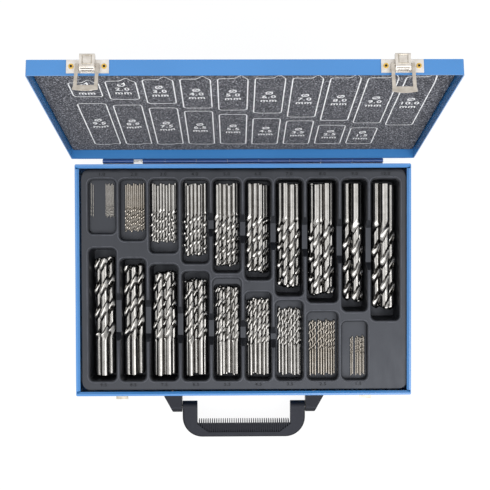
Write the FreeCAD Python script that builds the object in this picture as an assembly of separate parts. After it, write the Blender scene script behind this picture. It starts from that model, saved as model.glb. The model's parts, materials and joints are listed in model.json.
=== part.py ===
import FreeCAD, Part
import math
import os

from FreeCAD import Vector

# Sheet-steel carrying case for a graded stock of straight-shank twist drills.
#
# A folded base holds a thermoformed tray with one pocket for each drill size. A shallow lid
# lined with foam turns on a piano hinge along the rear wall. Two draw latches on the lid's
# front wall hook under catches on the base, and a moulded handle swings between two brackets
# on the base's front wall.
#
# Lengths are in millimetres and angles in degrees. +X points right, +Y to the rear and +Z up.
# The origin is the centre of the base's underside. Everything on the lid is drawn with the
# lid shut and is then turned to its open rest position by opened().

# Base
tray_side_gap = 3.8
tray_end_gap = 6.15
base_height = 40.0
steel = 0.8
corner_radius = 1.6
rim_width = 4.2
rim_flat = 2.1
rim_fall = 1.9
rim_slit = 0.7

# Lid
lid_overhang = 4.3
lid_overlap = 3.0
lid_height = 13.6
lid_open_angle = 102.4
foam_thickness = 3.9
foam_margin = 1.2
soft_clearance = 0.3

# Piano hinge
hinge_inset = 28.4
knuckle_count = 9
knuckle_gap = 0.3
hinge_sheet = 0.8
hinge_pin_radius = 1.0
hinge_bore_clearance = 0.1
hinge_drop = 3.0
base_leaf_height = 12.0
lid_leaf_height = 8.0
first_knuckle_setback = 9.0

# Tray
tray_side_margin = 8.55
narrowest_web = 5.5
tray_offset_x = 1.0
tray_offset_y = -1.4
tray_drop = 5.0
tray_sheet = 1.2
tray_corner_radius = 8.0
skirt_draft = 2.0
pocket_draft = 3.5
pocket_corner_radius = 5.0
mouth_chamfer = 0.9
column_widths = (28.1, 26.9, 29.5, 28.2, 29.1, 27.7, 29.0, 32.2, 26.4, 29.6)
rib_width = 4.2
rear_margin = 8.2
front_margin = 10.4
shallowest_pocket = 6.0
depth_per_size = 4.0
notch_depth = 9.0
notch_slope_run = 8.0
notch_setback = 27.5
notch_setback_per_size = 1.65
notch_length_per_size = 5.5
smallest_notched_size = 3.5
disc_radius = 4.5
disc_height = 0.5
disc_x = 6.0
disc_y = -6.8
ledged_size = 5.5
ledge_length = 5.2
ledge_depth = 2.0

# Drill stock, from left to right: diameter, pieces, length, pocket length, side it lies on
rear_stock = (
    (1.0, 10, 34.0, 56.0, 1),
    (2.0, 10, 49.0, 63.2, 1),
    (3.0, 10, 61.0, 76.4, 1),
    (4.0, 10, 75.0, 87.5, -1),
    (5.0, 10, 86.0, 97.2, 1),
    (6.0, 10, 93.0, 105.0, -1),
    (7.0, 10, 109.0, 122.0, 1),
    (8.0, 10, 117.0, 128.8, -1),
    (9.0, 5, 125.0, 138.2, -1),
    (10.0, 5, 133.0, 148.0, -1),
)
front_stock = (
    (9.5, 5, 125.0, 138.6, 1),
    (8.5, 5, 117.0, 127.6, 1),
    (7.5, 10, 109.0, 121.4, 1),
    (6.5, 10, 101.0, 113.9, -1),
    (5.5, 10, 93.0, 106.6, 1),
    (4.5, 10, 80.0, 92.0, -1),
    (3.5, 10, 70.0, 82.8, 1),
    (2.5, 10, 57.0, 71.0, -1),
    (1.5, 10, 40.0, 61.0, 1),
)
point_angle = 118.0
shank_gap = 3.6
drill_gap = 0.1
drill_seat_gap = 0.25
wall_gap = 0.5
smallest_size = 1.0
coarse_sides = 6
fine_sides = 10
fine_sides_from = 6.0

# How far each drill of a size has slid from the line of the shank ends, in turn
drill_slides = (0.0, 1.6, 0.5, 2.2, 0.9, 0.2, 2.6, 1.2, 0.4, 1.9)

# Where the drills of the looser sizes lie across their pocket, in the order of laying, from -1
# at its left wall to 1 at its right wall. The drills of the other sizes settle by themselves.
laid_shares = {
    1.0: (-0.92, -0.76, 0.30, 0.39, 0.48, 0.57, 0.66, 0.75, 0.84, 0.93),
    1.5: (-0.29, -0.14, 0.16, 0.31, 0.46, 0.61, 0.76, 0.91, 0.53, 0.84),
    2.5: (-0.93, -0.73, -0.53, -0.27, -0.07, 0.13, 0.33, 0.53, 0.73, 0.93),
    6.5: (-1.0, 0.0, 1.0, -0.5, 0.5, -1.0, 0.0, 1.0, -0.62, 0.62),
    7.0: (-1.0, 0.0, 1.0, -0.5, 0.5, -1.0, 0.0, 1.0, -0.42, 0.42),
    8.5: (-0.75, 0.75, -1.0, 1.0, -0.05),
    9.0: (-0.75, 0.75, -1.0, 1.0, 0.4),
    9.5: (-0.75, 0.75, -0.8, 1.0, 0.1),
    10.0: (-0.75, 0.75, -1.0, 1.0, 0.1),
}

# Draw latches, placed by their height up the lid's front wall and their distance out from it
latch_inset = 46.4
latch_plate_width = 34.8
latch_plate_low = 1.7
latch_plate_top = 13.2
latch_sheet = 0.8
lever_width = 12.6
lever_pivot_up = 4.2
lever_pivot_out = 3.1
lever_nose_radius = 2.0
lever_face_out = 6.0
lever_shoulder_up = 5.4
lever_end_up = 16.8
lever_end_chamfer = 0.8
lever_seat_gap = 0.35
emboss_width = 7.4
emboss_height = 8.6
emboss_depth = 0.35
emboss_up = 10.8
ear_radius = 1.5
ear_play = 0.3
latch_pin_radius = 0.7
latch_bore_clearance = 0.1
bail_pivot_up = 8.0
bail_pivot_out = 2.65
bail_side_play = 0.65
bail_strip_width = 2.85
bail_cross_width = 20.6
bail_cross_height = 6.3
bail_bow = 1.6
bail_barrel_radius = 1.4
hook_height = 24.5
hook_out = 2.4
bail_rest_left = 32.0
bail_rest_right = 24.0
eyelet_spacing = 26.9
eyelet_up = 7.6
eyelet_head_radius = 2.2
eyelet_head_height = 0.5
eyelet_barrel_radius = 1.4
eyelet_hole_radius = 0.9

# Catches on the base
catch_play = 0.65
catch_gap = 0.3
catch_reach = 5.6
catch_tip = 1.3
catch_plate_height = 4.4
catch_rivet_radius = 1.3
catch_rivet_head = 0.5

# Handle and its brackets
handle_span = 129.4
arm_width = 15.5
handle_reach = 46.2
handle_thickness = 12.0
handle_corner_radius = 21.0
handle_edge_round = 2.2
handle_height = 20.0
pivot_reach = 14.5
grip_depth = 13.6
grip_recess = 3.5
grip_band = 5.0
grip_taper = 11.5
rib_pitch = 2.3
rib_thickness = 1.0
rib_length = 4.2
rib_inset = 0.4
bracket_gap = 0.6
bracket_root_width = 19.5
bracket_tip_width = 9.4
bracket_reach = 20.3
bracket_root_height = 22.0
handle_pin_radius = 2.0
handle_pin_play = 0.1
handle_pin_engagement = 7.0
bracket_rivet_radius = 1.6
bracket_rivet_head_radius = 2.9
bracket_rivet_head_height = 1.0
bracket_rivet_depth = 7.0
bracket_rivet_spacing = 12.0

# Sizes and places that follow from the sizes above
columns_width = sum(column_widths) + rib_width * (len(column_widths) - 1)
longest_pair = max(rear[3] + front[3] for rear, front in zip(rear_stock, front_stock))
tray_width = columns_width + 2 * tray_side_margin
tray_depth = rear_margin + longest_pair + narrowest_web + front_margin
case_width = tray_width + 2 * tray_side_gap
case_depth = tray_depth + 2 * tray_end_gap
latch_x = case_width / 2 - latch_inset
hinge_length = case_width - 2 * hinge_inset
base_front = -case_depth / 2
base_rear = case_depth / 2
lid_width = case_width + 2 * lid_overhang
lid_depth = case_depth + 2 * lid_overhang
lid_rim = base_height - lid_overlap
lid_top = lid_rim + lid_height
lid_front = base_front - lid_overhang
lid_rear = base_rear + lid_overhang
hinge_bore_radius = hinge_pin_radius + hinge_bore_clearance
knuckle_radius = hinge_bore_radius + hinge_sheet
hinge_y = lid_rear + hinge_sheet - knuckle_radius
hinge_z = lid_rim - hinge_drop
tray_top = base_height - tray_drop
deepest_pocket = tray_top - steel - tray_sheet
rear_pocket_edge = tray_offset_y + tray_depth / 2 - rear_margin
front_pocket_edge = tray_offset_y - tray_depth / 2 + front_margin
latch_bore_radius = latch_pin_radius + latch_bore_clearance
bail_opening = lever_width + 2 * bail_side_play
bail_width = bail_opening + 2 * bail_strip_width
catch_width = bail_opening - 2 * catch_play
pivot_y = base_front - pivot_reach
handle_front = base_front - handle_reach
arm_outer = handle_span / 2
bracket_inner = arm_outer + bracket_gap


def drill_name(diameter):
    """Node name of one size of drill, such as drill_bits_4_5."""
    return "drill_bits_" + f"{diameter:.1f}".replace(".", "_")


def opened(shape):
    """Turn a shape with the lid, from shut to the open rest position."""
    turned = shape.copy()
    turned.rotate(Vector(0, hinge_y, hinge_z), Vector(1, 0, 0), -lid_open_angle)
    return turned


def box(low, high):
    """Box between two opposite corners."""
    size = [top - bottom for bottom, top in zip(low, high)]
    return Part.makeBox(*size, Vector(*low))


def rounded_outline(width, depth, radius, centre, z):
    """Level closed wire of a rectangle with round corners."""
    cx, cy = centre
    edges = []
    previous = None
    first = None
    for quadrant in range(4):
        start = math.radians(90 * quadrant)
        side_x = 1 if quadrant in (0, 3) else -1
        side_y = 1 if quadrant in (0, 1) else -1
        middle = Vector(cx + side_x * (width / 2 - radius), cy + side_y * (depth / 2 - radius), z)
        corner = [
            middle + Vector(math.cos(start + turn), math.sin(start + turn), 0) * radius
            for turn in (0, math.pi / 4, math.pi / 2)
        ]
        if previous:
            edges.append(Part.LineSegment(previous, corner[0]).toShape())
        edges.append(Part.Arc(*corner).toShape())
        previous = corner[2]
        first = first or corner[0]
    edges.append(Part.LineSegment(previous, first).toShape())
    return Part.Wire(edges)


def rounded_block(width, depth, radius, low, high, centre=(0.0, 0.0)):
    """Upright block with round vertical edges."""
    outline = rounded_outline(width, depth, radius, centre, low)
    return Part.Face(outline).extrude(Vector(0, 0, high - low))


def tapered_block(top, bottom, radii, heights, centre):
    """Upright block whose rounded outline changes from bottom to top."""
    lower = rounded_outline(*bottom, radii[1], centre, heights[0])
    upper = rounded_outline(*top, radii[0], centre, heights[1])
    return Part.makeLoft([lower, upper], True, True)


def side_prism(points, x_low, x_high):
    """Prism across X with its section given as (y, z) points."""
    corners = [Vector(x_low, y, z) for y, z in points]
    section = Part.Face(Part.makePolygon(corners + corners[:1]))
    return section.extrude(Vector(x_high - x_low, 0, 0))


def plan_prism(points, z_low, z_high):
    """Upright prism with its outline given as (x, y) points."""
    corners = [Vector(x, y, z_low) for x, y in points]
    outline = Part.Face(Part.makePolygon(corners + corners[:1]))
    return outline.extrude(Vector(0, 0, z_high - z_low))


def cross_rod(radius, x_low, x_high, y, z):
    """Round rod along X."""
    return Part.makeCylinder(radius, x_high - x_low, Vector(x_low, y, z), Vector(1, 0, 0))


def depth_rod(radius, x, y_low, y_high, z):
    """Round rod along Y."""
    return Part.makeCylinder(radius, y_high - y_low, Vector(x, y_low, z), Vector(0, 1, 0))


def base_rim():
    """The four rims folded in from the walls: flat on top, then falling towards the tray."""
    low = base_height - steel
    section = (
        (0, base_height),
        (rim_flat, base_height),
        (rim_width, base_height - rim_fall),
        (rim_width, low - rim_fall),
        (rim_flat, low),
        (0, low),
    )
    half_x = case_width / 2
    side_run = case_depth / 2 - rim_width - rim_slit
    rims = []
    for side in (-1, 1):
        long_section = [(side * (case_depth / 2 - inset), z) for inset, z in section]
        rims.append(side_prism(long_section, -half_x, half_x))
        points = [Vector(side * (half_x - inset), -side_run, z) for inset, z in section]
        face = Part.Face(Part.makePolygon(points + points[:1]))
        rims.append(face.extrude(Vector(0, 2 * side_run, 0)))
    return rims


def base_shell():
    """Folded base: floor, four walls and the rims, with the rivet holes in the front wall."""
    outer = rounded_block(case_width, case_depth, corner_radius, 0, base_height)
    hollow = rounded_block(case_width - 2 * steel, case_depth - 2 * steel, corner_radius - steel,
                           steel, base_height)
    shell = outer.cut(hollow).fuse([rim.common(outer) for rim in base_rim()])
    holes = [depth_rod(catch_rivet_radius, x, base_front, base_front + steel, z)
             for x, z in catch_rivet_places()]
    holes += [depth_rod(bracket_rivet_radius, x, base_front, base_front + steel, z)
              for x, z in bracket_rivet_places()]
    return shell.cut(holes).removeSplitter()


def knuckle_spans():
    """X ranges of the knuckles from left to right; the lid's leaf has the odd ones out."""
    pitch = hinge_length / knuckle_count
    spans = []
    for index in range(knuckle_count):
        low = -hinge_length / 2 + index * pitch + knuckle_gap / 2
        high = low + pitch - knuckle_gap
        if index == 1:
            low += first_knuckle_setback
        spans.append((low, high))
    return spans


def hinge_leaf(spans, plate_y, root_z, end_z):
    """One leaf: a plate against its wall, with a root and a knuckle at each of its spans."""
    clear = knuckle_radius + knuckle_gap
    away = math.copysign(clear, end_z - root_z)
    plate_low, plate_high = sorted((root_z + away, end_z))
    half = hinge_length / 2
    parts = [box((-half, plate_y, plate_low), (half, plate_y + hinge_sheet, plate_high))]
    for low, high in spans:
        root_low, root_high = sorted((root_z, root_z + away))
        parts.append(box((low, plate_y, root_low),
                         (high, max(plate_y + hinge_sheet, hinge_y), root_high)))
        parts.append(cross_rod(knuckle_radius, low, high, hinge_y, hinge_z))
    leaf = parts[0].fuse(parts[1:]).removeSplitter()
    return leaf.cut(cross_rod(hinge_bore_radius, -half, half, hinge_y, hinge_z))


def hinge_leaf_base():
    """Leaf on the base's rear wall."""
    return hinge_leaf(knuckle_spans()[1::2], base_rear, hinge_z, hinge_z - base_leaf_height)


def hinge_leaf_lid():
    """Leaf on the lid's rear wall, which carries the first and last knuckles."""
    leaf = hinge_leaf(knuckle_spans()[::2], lid_rear, hinge_z, lid_rim + lid_leaf_height)
    return opened(leaf)


def hinge_pin():
    """Pin through all the knuckles."""
    return cross_rod(hinge_pin_radius, -hinge_length / 2, hinge_length / 2, hinge_y, hinge_z)


def lid_shell():
    """Folded lid: panel and four walls, with the eyelet holes in the front wall."""
    outer = rounded_block(lid_width, lid_depth, corner_radius, lid_rim, lid_top)
    hollow = rounded_block(lid_width - 2 * steel, lid_depth - 2 * steel, corner_radius - steel,
                           lid_rim, lid_top - steel)
    holes = [depth_rod(eyelet_barrel_radius, x, lid_front, lid_front + steel, z)
             for x, z in eyelet_places()]
    return opened(outer.cut([hollow] + holes))


def foam_pad():
    """Foam lining under the lid's panel."""
    top = lid_top - steel - soft_clearance
    inset = 2 * (steel + foam_margin)
    pad = rounded_block(lid_width - inset, lid_depth - inset, corner_radius,
                        top - foam_thickness, top)
    return opened(pad)


def column_edges():
    """X ranges of the tray's columns of pockets, from left to right."""
    low = tray_offset_x - columns_width / 2
    edges = []
    for width in column_widths:
        edges.append((low, low + width))
        low += width + rib_width
    return edges


def pocket_depth(diameter):
    """Depth of a size's pocket: deeper for thicker drills, down to the case's floor."""
    return min(deepest_pocket, shallowest_pocket + depth_per_size * (diameter - smallest_size))


def pockets():
    """All pockets: stock entry, X range, Y range, depth and where the shanks point."""
    found = []
    for stock, shank_side in ((rear_stock, 1), (front_stock, -1)):
        for entry, (low_x, high_x) in zip(stock, column_edges()):
            length = entry[3]
            if shank_side > 0:
                span = (rear_pocket_edge - length, rear_pocket_edge)
            else:
                span = (front_pocket_edge, front_pocket_edge + length)
            found.append((entry, (low_x, high_x), span, pocket_depth(entry[0]), shank_side))
    return found


def drafted_space(span_x, span_y, depth, grow):
    """Space below the tray's face that narrows to its floor, grown by the sheet if asked."""
    inset = depth * math.tan(math.radians(pocket_draft))
    width, length = (high - low + 2 * grow for low, high in (span_x, span_y))
    radius = pocket_corner_radius + grow
    centre = (sum(span_x) / 2, sum(span_y) / 2)
    floor = tray_top - depth - grow
    return tapered_block((width, length), (width - 2 * inset, length - 2 * inset),
                         (radius, radius - inset), (floor, tray_top), centre)


def pocket_space(pocket, grow=0.0):
    """The space of one pocket; the ledged size has a shelf at the end that the points face."""
    entry, span_x, (low_y, high_y), depth, shank_side = pocket
    if entry[0] != ledged_size:
        return drafted_space(span_x, (low_y, high_y), depth, grow)
    shelf = drafted_space(span_x, (low_y, high_y), ledge_depth, grow)
    if shank_side > 0:
        low_y += ledge_length
    else:
        high_y -= ledge_length
    return drafted_space(span_x, (low_y, high_y), depth, grow).fuse(shelf).removeSplitter()


def notches():
    """Finger notches: the rib's X range and the notch's Y range, for neighbouring pockets."""
    found = []
    for stock, edge, inward in ((rear_stock, rear_pocket_edge, -1),
                                (front_stock, front_pocket_edge, 1)):
        columns = column_edges()
        for index in range(len(stock) - 1):
            sizes = (stock[index][0], stock[index + 1][0])
            if min(sizes) < smallest_notched_size:
                continue
            mean = sum(sizes) / 2
            start = edge + inward * (notch_setback + notch_setback_per_size * mean)
            end = start + inward * notch_length_per_size * mean
            rib = (columns[index][1], columns[index + 1][0])
            found.append((rib, tuple(sorted((start, end)))))
    return found


def notch_space(notch, grow=0.0):
    """Trapezium-shaped dip across one rib, grown by the sheet for its outer side."""
    (rib_low, rib_high), (low, high) = notch
    floor = tray_top - notch_depth - grow
    reach = tray_sheet + mouth_chamfer
    points = ((low - grow, tray_top), (high + grow, tray_top),
              (high - notch_slope_run + grow, floor), (low + notch_slope_run - grow, floor))
    return side_prism(points, rib_low - reach, rib_high + reach)


def tray_skin():
    """The tray's face and drafted skirt, standing on the case's floor."""
    height = tray_top - steel
    flare = 2 * height * math.tan(math.radians(skirt_draft))
    centre = (tray_offset_x, tray_offset_y)
    outer = tapered_block((tray_width - flare, tray_depth - flare), (tray_width, tray_depth),
                          (tray_corner_radius, tray_corner_radius), (steel, tray_top), centre)
    wall = 2 * tray_sheet
    radius = tray_corner_radius - tray_sheet
    inner = tapered_block((tray_width - flare - wall, tray_depth - flare - wall),
                          (tray_width - wall, tray_depth - wall),
                          (radius, radius), (steel, tray_top - tray_sheet), centre)
    return outer.cut(inner)


def mouth_edges(shape):
    """Edges where the tray's face turns down into its pockets."""
    found = []
    for edge in shape.Edges:
        bounds = edge.BoundBox
        level = abs(bounds.ZMin - tray_top) < 1e-6 and abs(bounds.ZMax - tray_top) < 1e-6
        if level and inside_pocket_field(edge.CenterOfMass):
            found.append(edge)
    return found


def inside_pocket_field(point):
    """Whether a point lies in the field of pockets and not on the tray's own outline."""
    columns = column_edges()
    across = columns[0][0] - mouth_chamfer < point.x < columns[-1][1] + mouth_chamfer
    return across and (front_pocket_edge - mouth_chamfer < point.y
                       < rear_pocket_edge + mouth_chamfer)


def tray():
    """Thermoformed tray: face, skirt, a cup for each pocket, finger notches and a mould disc."""
    cups = [pocket_space(pocket, tray_sheet) for pocket in pockets()]
    dips = [notch_space(notch, tray_sheet) for notch in notches()]
    body = tray_skin().fuse(cups + dips).removeSplitter()
    body = body.cut([pocket_space(pocket) for pocket in pockets()])
    body = body.makeChamfer(mouth_chamfer, mouth_edges(body))
    body = body.cut([notch_space(notch) for notch in notches()])
    disc = Part.makeCylinder(disc_radius, disc_height, Vector(disc_x, disc_y, tray_top))
    return body.fuse(disc)


def settled_places(count, diameter, width):
    """Centres (x, height) of round bars laid in a trough, each in the lowest free place."""
    step = diameter + drill_gap
    limit = width / 2 - diameter / 2
    rest = diameter / 2 + drill_seat_gap
    placed = []
    while len(placed) < count:
        seats = [(-limit, rest)] + [(x + step, rest) for x, _ in placed]
        for x, z in placed:
            seats += wall_seats(x, z, step, limit)
            seats += [seat for other in placed for seat in saddle_seats((x, z), other, step)]
        free = [seat for seat in seats if is_free(seat, placed, step, limit, rest)]
        placed.append(min(free, key=lambda seat: (round(seat[1], 3), seat[0])))
    return placed


def wall_seats(x, z, step, limit):
    """Places between a placed bar and either wall of the trough."""
    seats = []
    for wall in (-limit, limit):
        if abs(wall - x) < step:
            seats.append((wall, z + math.sqrt(step ** 2 - (wall - x) ** 2)))
    return seats


def saddle_seats(first, second, step):
    """Place on top of two placed bars that lie close enough to carry a third."""
    (x1, z1), (x2, z2) = first, second
    apart = math.hypot(x2 - x1, z2 - z1)
    if x2 <= x1 or apart >= 2 * step:
        return []
    rise = math.sqrt(step ** 2 - apart ** 2 / 4)
    return [((x1 + x2) / 2 - (z2 - z1) / apart * rise, (z1 + z2) / 2 + (x2 - x1) / apart * rise)]


def is_free(seat, placed, step, limit, rest):
    """Whether a place keeps clear of the walls, the floor and the bars already there."""
    x, z = seat
    tolerance = 1e-6
    if abs(x) > limit + tolerance or z < rest - tolerance:
        return False
    return all(math.hypot(x - px, z - pz) > step - tolerance for px, pz in placed)


def laid_places(shares, diameter, width):
    """Centres (x, height) of round bars lowered in turn until each meets what lies below."""
    step = diameter + drill_gap
    limit = width / 2 - diameter / 2
    placed = []
    for share in shares:
        x = share * limit
        heights = [diameter / 2 + drill_seat_gap]
        heights += [pz + math.sqrt(step ** 2 - (px - x) ** 2)
                    for px, pz in placed if abs(px - x) < step]
        placed.append((x, max(heights)))
    return placed


def drill_blank(diameter, length, start, direction):
    """One drill as a many-sided bar with a ground point; start is the shank end's centre."""
    sides = fine_sides if diameter >= fine_sides_from else coarse_sides
    point_length = diameter / 2 / math.tan(math.radians(point_angle / 2))
    ring = [(math.sin(2 * math.pi * i / sides), -math.cos(2 * math.pi * i / sides))
            for i in range(sides)]
    ends = []
    for along in (0.0, length - point_length):
        ends.append([start + Vector(x * diameter / 2, direction * along, z * diameter / 2)
                     for x, z in ring])
    tip = start + Vector(0, direction * length, 0)
    faces = [Part.Face(Part.makePolygon(ends[0] + ends[0][:1]))]
    for i in range(sides):
        j = (i + 1) % sides
        faces.append(Part.Face(Part.makePolygon(
            [ends[0][i], ends[0][j], ends[1][j], ends[1][i], ends[0][i]])))
        faces.append(Part.Face(Part.makePolygon([ends[1][i], ends[1][j], tip, ends[1][i]])))
    solid = Part.Solid(Part.Shell(faces))
    return solid if solid.Volume > 0 else solid.reversed()


def drill_group(pocket):
    """All drills of one size, lying in their pocket with the shanks at the case's long edge."""
    (diameter, count, length, _, side), (low_x, high_x), (low_y, high_y), depth, shank_side = pocket
    inset = depth * math.tan(math.radians(pocket_draft))
    floor_width = high_x - low_x - 2 * (inset + wall_gap)
    shank_y = high_y - shank_gap if shank_side > 0 else low_y + shank_gap
    if diameter in laid_shares:
        places = laid_places(laid_shares[diameter], diameter, floor_width)
    else:
        places = [(-side * x, z) for x, z in settled_places(count, diameter, floor_width)]
    centre_x = (low_x + high_x) / 2
    floor = tray_top - depth
    drills = []
    for (x, z), slide in zip(places, drill_slides):
        start = Vector(centre_x + x, shank_y - shank_side * slide, floor + z)
        drills.append(drill_blank(diameter, length, start, -shank_side))
    return Part.makeCompound(drills)


def on_lid(out, up):
    """(y, z) of a place on the shut lid's front wall, from its distance out and its height."""
    return (lid_front - out, lid_rim + up)


def eyelet_places():
    """(x, z) of the eyelets that hold both latch plates."""
    z = lid_rim + eyelet_up
    return [(side * latch_x + end * eyelet_spacing / 2, z) for side in (-1, 1) for end in (-1, 1)]


def latch_plate(side):
    """Latch plate with two ears for the lever's pivot."""
    centre = side * latch_x
    low_y, low_z = on_lid(latch_sheet, latch_plate_low)
    half = latch_plate_width / 2
    top_z = lid_rim + latch_plate_top
    plate = box((centre - half, low_y, low_z), (centre + half, lid_front, top_z))
    pivot = on_lid(lever_pivot_out, lever_pivot_up)
    ears = []
    for end in (-1, 1):
        outer = centre + end * (lever_width / 2 - latch_sheet - ear_play)
        low_x, high_x = sorted((outer, outer - end * latch_sheet))
        ears.append(cross_rod(ear_radius, low_x, high_x, *pivot))
        ears.append(box((low_x, pivot[0], pivot[1] - ear_radius),
                        (high_x, lid_front, pivot[1] + ear_radius)))
    holes = [depth_rod(eyelet_barrel_radius, x, low_y, lid_front, z) for x, z in eyelet_places()]
    bore = cross_rod(latch_bore_radius, centre - lever_width, centre + lever_width, *pivot)
    return opened(plate.fuse(ears).removeSplitter().cut(holes + [bore]))


def latch_pivot(side):
    """Pin on which the lever turns, through both ears."""
    centre = side * latch_x
    half = lever_width / 2
    return opened(cross_rod(latch_pin_radius, centre - half, centre + half,
                            *on_lid(lever_pivot_out, lever_pivot_up)))


def lever_block(inset, half_width, open_side):
    """Side form of the lever, drawn in by inset: a round nose, a shoulder and a flat face."""
    pivot = on_lid(lever_pivot_out, lever_pivot_up)
    nose = lever_nose_radius - inset
    face = lever_face_out - inset
    end = lever_end_up - inset
    shoulder = (lever_shoulder_up, face)
    reach = math.hypot(shoulder[0] - lever_pivot_up, shoulder[1] - lever_pivot_out)
    heading = math.atan2(shoulder[1] - lever_pivot_out, shoulder[0] - lever_pivot_up)
    tangent = heading + math.acos(nose / reach)
    profile = (
        (lever_pivot_up + nose * math.cos(tangent), lever_pivot_out + nose * math.sin(tangent)),
        shoulder,
        (end - lever_end_chamfer, face),
        (end, face - lever_end_chamfer),
        (end, open_side),
        (lever_pivot_up, open_side),
        (lever_pivot_up, lever_pivot_out),
    )
    points = [on_lid(out, up) for up, out in profile]
    block = side_prism(points, -half_width, half_width)
    return block.fuse(cross_rod(nose, -half_width, half_width, *pivot)).removeSplitter()


def latch_lever(side):
    """Pressed channel lever: an embossed face between two cheeks, open round the pivot."""
    seat = latch_sheet + lever_seat_gap
    outer = lever_block(0.0, lever_width / 2, seat)
    inner = lever_width / 2 - latch_sheet
    channel = lever_block(latch_sheet, inner, -steel)
    nose = cross_rod(lever_nose_radius + lever_seat_gap, -inner, inner,
                     *on_lid(lever_pivot_out, lever_pivot_up))
    emboss = box((-emboss_width / 2, *on_lid(lever_face_out, emboss_up - emboss_height / 2)),
                 (emboss_width / 2, *on_lid(lever_face_out - emboss_depth,
                                            emboss_up + emboss_height / 2)))
    bores = [cross_rod(latch_bore_radius, -lever_width, lever_width, *on_lid(out, up))
             for out, up in ((lever_pivot_out, lever_pivot_up), (bail_pivot_out, bail_pivot_up))]
    lever = outer.cut([channel, nose, emboss] + bores)
    lever.translate(Vector(side * latch_x, 0, 0))
    return opened(lever)


def latch_bail_pin(side):
    """Pin in the lever on which the bail swings."""
    centre = side * latch_x
    half = bail_width / 2
    return opened(cross_rod(latch_pin_radius, centre - half, centre + half,
                            *on_lid(bail_pivot_out, bail_pivot_up)))


def bail_cross_plate(top, width):
    """Plate across the bail's end, with a bowed free edge."""
    half_sheet = latch_sheet / 2
    y, z = top
    low = z - bail_cross_height
    half = width / 2
    face = y - half_sheet
    left, right = (Vector(end * half, face, low + bail_bow) for end in (-1, 1))
    bow = Part.Arc(left, Vector(0, face, low), right).toShape()
    shoulder = bail_width / 2
    upper = [right, Vector(shoulder, face, z), Vector(-shoulder, face, z), left]
    outline = Part.Wire([bow] + Part.makePolygon(upper).Edges)
    return Part.Face(outline).extrude(Vector(0, latch_sheet, 0))


def latch_bail(side, rest_angle):
    """Bail: two strips rolled round the pin and a cross plate that hooks under the catch."""
    pin_y, pin_z = on_lid(bail_pivot_out, bail_pivot_up)
    hook = (base_front - hook_out, hook_height)
    offset = bail_barrel_radius - latch_sheet / 2
    half_sheet = latch_sheet / 2
    run = math.hypot(hook[0] - pin_y, pin_z - hook[1])
    lean = math.atan2(hook[0] - pin_y, pin_z - hook[1]) + math.asin(offset / run)
    across = (-math.cos(lean), -math.sin(lean))
    start = (pin_y + across[0] * offset, pin_z + across[1] * offset)
    corners = []
    for end, turn in ((start, 1), (hook, 1), (hook, -1), (start, -1)):
        shift = turn * half_sheet
        corners.append((end[0] + across[0] * shift, end[1] + across[1] * shift))
    strips = []
    for end in (-1, 1):
        low_x, high_x = sorted((end * bail_opening / 2, end * bail_width / 2))
        strips.append(side_prism(corners, low_x, high_x))
        strips.append(cross_rod(bail_barrel_radius, low_x, high_x, pin_y, pin_z))
        strips.append(cross_rod(half_sheet, low_x, high_x, *hook))
    plate = bail_cross_plate(hook, bail_cross_width)
    bail = plate.fuse(strips).removeSplitter()
    bail = bail.cut(cross_rod(latch_bore_radius, -bail_width, bail_width, pin_y, pin_z))
    bail.rotate(Vector(0, pin_y, pin_z), Vector(1, 0, 0), -rest_angle)
    bail.translate(Vector(side * latch_x, 0, 0))
    return opened(bail)


def latch_eyelets():
    """Hollow rivets through the latch plates and the lid's front wall."""
    outer_y = lid_front - latch_sheet
    inner_y = lid_front + steel
    eyelets = []
    for x, z in eyelet_places():
        head = depth_rod(eyelet_head_radius, x, outer_y - eyelet_head_height, outer_y, z)
        tail = depth_rod(eyelet_head_radius, x, inner_y, inner_y + eyelet_head_height, z)
        barrel = depth_rod(eyelet_barrel_radius, x, outer_y, inner_y, z)
        hole = depth_rod(eyelet_hole_radius, x, outer_y - eyelet_head_height,
                         inner_y + eyelet_head_height, z)
        eyelets.append(head.fuse([barrel, tail]).removeSplitter().cut(hole))
    return opened(Part.makeCompound(eyelets))


def tongue_low():
    """Underside of the catches' tongues, just above the latched bails."""
    return hook_height + latch_sheet / 2 + catch_gap


def catch_rivet_places():
    """(x, z) of the rivets that hold the catches."""
    z = tongue_low() + latch_sheet + catch_plate_height / 2
    return [(side * latch_x, z) for side in (-1, 1)]


def catch(side):
    """Catch: a plate on the front wall, bent out into a tongue with a turned-down tip."""
    low = tongue_low()
    top = low + latch_sheet
    section = (
        (0, top + catch_plate_height),
        (latch_sheet, top + catch_plate_height),
        (latch_sheet, top),
        (catch_reach, top),
        (catch_reach, low - catch_tip),
        (catch_reach - latch_sheet, low - catch_tip),
        (catch_reach - latch_sheet, low),
        (0, low),
    )
    points = [(base_front - out, z) for out, z in section]
    centre = side * latch_x
    body = side_prism(points, centre - catch_width / 2, centre + catch_width / 2)
    holes = [depth_rod(catch_rivet_radius, x, base_front - latch_sheet, base_front, z)
             for x, z in catch_rivet_places()]
    return body.cut(holes)


def catch_rivets():
    """Rivets through the catches and the base's front wall."""
    rivets = []
    for x, z in catch_rivet_places():
        outer_y = base_front - latch_sheet
        inner_y = base_front + steel
        head = depth_rod(catch_rivet_radius + catch_rivet_head, x, outer_y - catch_rivet_head,
                         outer_y, z)
        tail = depth_rod(catch_rivet_radius + catch_rivet_head, x, inner_y,
                         inner_y + catch_rivet_head, z)
        shank = depth_rod(catch_rivet_radius, x, outer_y, inner_y, z)
        rivets.append(head.fuse([shank, tail]).removeSplitter())
    return Part.makeCompound(rivets)


def bracket_centre():
    """Distance from the middle of the case to the middle of a bracket's root."""
    return bracket_inner + bracket_root_width / 2


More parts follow.
